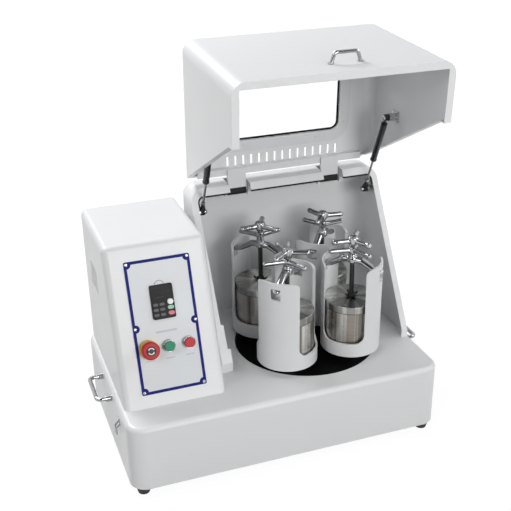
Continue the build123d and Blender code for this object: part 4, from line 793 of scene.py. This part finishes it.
def look_camera():
    """The camera solved from the photograph's edges."""
    yaw, pitch, roll = CAMERA_YAW, CAMERA_PITCH, CAMERA_ROLL
    forward = Vector((sin(yaw) * cos(pitch), cos(yaw) * cos(pitch), -sin(pitch)))
    level = Vector((cos(yaw), -sin(yaw), 0))
    down = forward.cross(level)
    right = level * cos(roll) + down * sin(roll)
    low = -level * sin(roll) + down * cos(roll)
    data = bpy.data.cameras.new("view")
    data.sensor_width = SENSOR_MM
    data.lens = FOCAL_PX / IMAGE_PX * SENSOR_MM
    data.shift_x = (IMAGE_PX / 2 - AXIS_PX[0]) / IMAGE_PX
    data.shift_y = (AXIS_PX[1] - IMAGE_PX / 2) / IMAGE_PX
    data.clip_end = FAR_CLIP
    camera = bpy.data.objects.new("view", data)
    turn = Matrix((right, -low, -forward)).transposed().to_4x4()
    camera.matrix_world = Matrix.Translation(CAMERA_AT) @ turn
    bpy.context.scene.collection.objects.link(camera)
    bpy.context.scene.camera = camera


def area_light(name, place, target, size, watts):
    data = bpy.data.lights.new(name, "AREA")
    data.shape = "RECTANGLE"
    data.size, data.size_y = size
    data.energy = watts
    light = bpy.data.objects.new(name, data)
    light.location = place
    light.rotation_euler = (Vector(target) - Vector(place)).to_track_quat("-Z", "Y").to_euler()
    bpy.context.scene.collection.objects.link(light)


def bright_rays(tree):
    """1 for rays from the camera, a mirror or through glass."""
    path = tree.nodes.new("ShaderNodeLightPath")
    total = path.outputs["Is Camera Ray"]
    for ray in ("Is Glossy Ray", "Is Transmission Ray"):
        add = tree.nodes.new("ShaderNodeMath")
        add.operation = "MAXIMUM"
        link(tree, total, add.inputs[0])
        link(tree, path.outputs[ray], add.inputs[1])
        total = add.outputs[0]
    return total


def studio_world():
    """Faint light all round, white where the camera looks, and for mirrors a room with a dim side."""
    world = bpy.data.worlds.new("studio")
    bpy.context.scene.world = world
    world.use_nodes = True
    tree = world.node_tree
    back = tree.nodes["Background"]
    back.inputs["Color"].default_value = WORLD_TINT
    back.inputs["Strength"].default_value = WORLD_LIGHT
    direction = tree.nodes.new("ShaderNodeTexCoord").outputs["Generated"]
    facing = tree.nodes.new("ShaderNodeVectorMath")
    facing.operation = "DOT_PRODUCT"
    facing.inputs[1].default_value = ROOM_SIDE
    link(tree, direction, facing.inputs[0])
    dim = spread(tree, facing.outputs["Value"], 0.0, 1.0, *ROOM_EDGE)
    white = tree.nodes.new("ShaderNodeBackground")
    white.inputs["Color"].default_value = (1, 1, 1, 1)
    white.inputs["Strength"].default_value = 1.0
    room = tree.nodes.new("ShaderNodeBackground")
    link(tree, tint(tree, dim, ROOM_BRIGHT, ROOM_DIM), room.inputs["Color"])
    path = tree.nodes.new("ShaderNodeLightPath")
    mirror = tree.nodes.new("ShaderNodeMixShader")
    link(tree, path.outputs["Is Glossy Ray"], mirror.inputs["Fac"])
    link(tree, white.outputs[0], mirror.inputs[1])
    link(tree, room.outputs[0], mirror.inputs[2])
    mix = tree.nodes.new("ShaderNodeMixShader")
    link(tree, bright_rays(tree), mix.inputs["Fac"])
    link(tree, back.outputs[0], mix.inputs[1])
    link(tree, mirror.outputs[0], mix.inputs[2])
    link(tree, mix.outputs[0], tree.nodes["World Output"].inputs["Surface"])


def studio_floor():
    """A pale floor that keeps the object's shadow and grows white away from it."""
    mesh = bpy.data.meshes.new("floor")
    corners = [(sx * FLOOR_HALF, sy * FLOOR_HALF, 0) for sx, sy in ((-1, -1), (1, -1), (1, 1), (-1, 1))]
    mesh.from_pydata(corners, [], [(0, 1, 2, 3)])
    floor = bpy.data.objects.new("floor", mesh)
    bpy.context.scene.collection.objects.link(floor)
    mat = bpy.data.materials.new("floor_white")
    mat.use_nodes = True
    tree = mat.node_tree
    shader = tree.nodes["Principled BSDF"]
    shader.inputs["Base Color"].default_value = (FLOOR_GREY, FLOOR_GREY, FLOOR_GREY, 1)
    shader.inputs["Roughness"].default_value = 0.9
    glow = tree.nodes.new("ShaderNodeEmission")
    far = tree.nodes.new("ShaderNodeVectorMath")
    far.operation = "LENGTH"
    link(tree, tree.nodes.new("ShaderNodeTexCoord").outputs["Object"], far.inputs[0])
    strength = spread(tree, far.outputs["Value"], GLOW_NEAR, GLOW_FAR, GLOW_FROM, GLOW_TO)
    link(tree, strength, glow.inputs["Strength"])
    mix = tree.nodes.new("ShaderNodeMixShader")
    scale = tree.nodes.new("ShaderNodeMath")
    scale.operation = "MULTIPLY"
    scale.inputs[1].default_value = GLOW_SHARE
    link(tree, bright_rays(tree), scale.inputs[0])
    link(tree, scale.outputs[0], mix.inputs["Fac"])
    link(tree, shader.outputs[0], mix.inputs[1])
    link(tree, glow.outputs[0], mix.inputs[2])
    link(tree, mix.outputs[0], tree.nodes["Material Output"].inputs["Surface"])
    mesh.materials.append(mat)


look_camera()
studio_world()
studio_floor()
for light in LIGHTS:
    area_light(*light)

bpy.context.scene.view_settings.view_transform = "Standard"
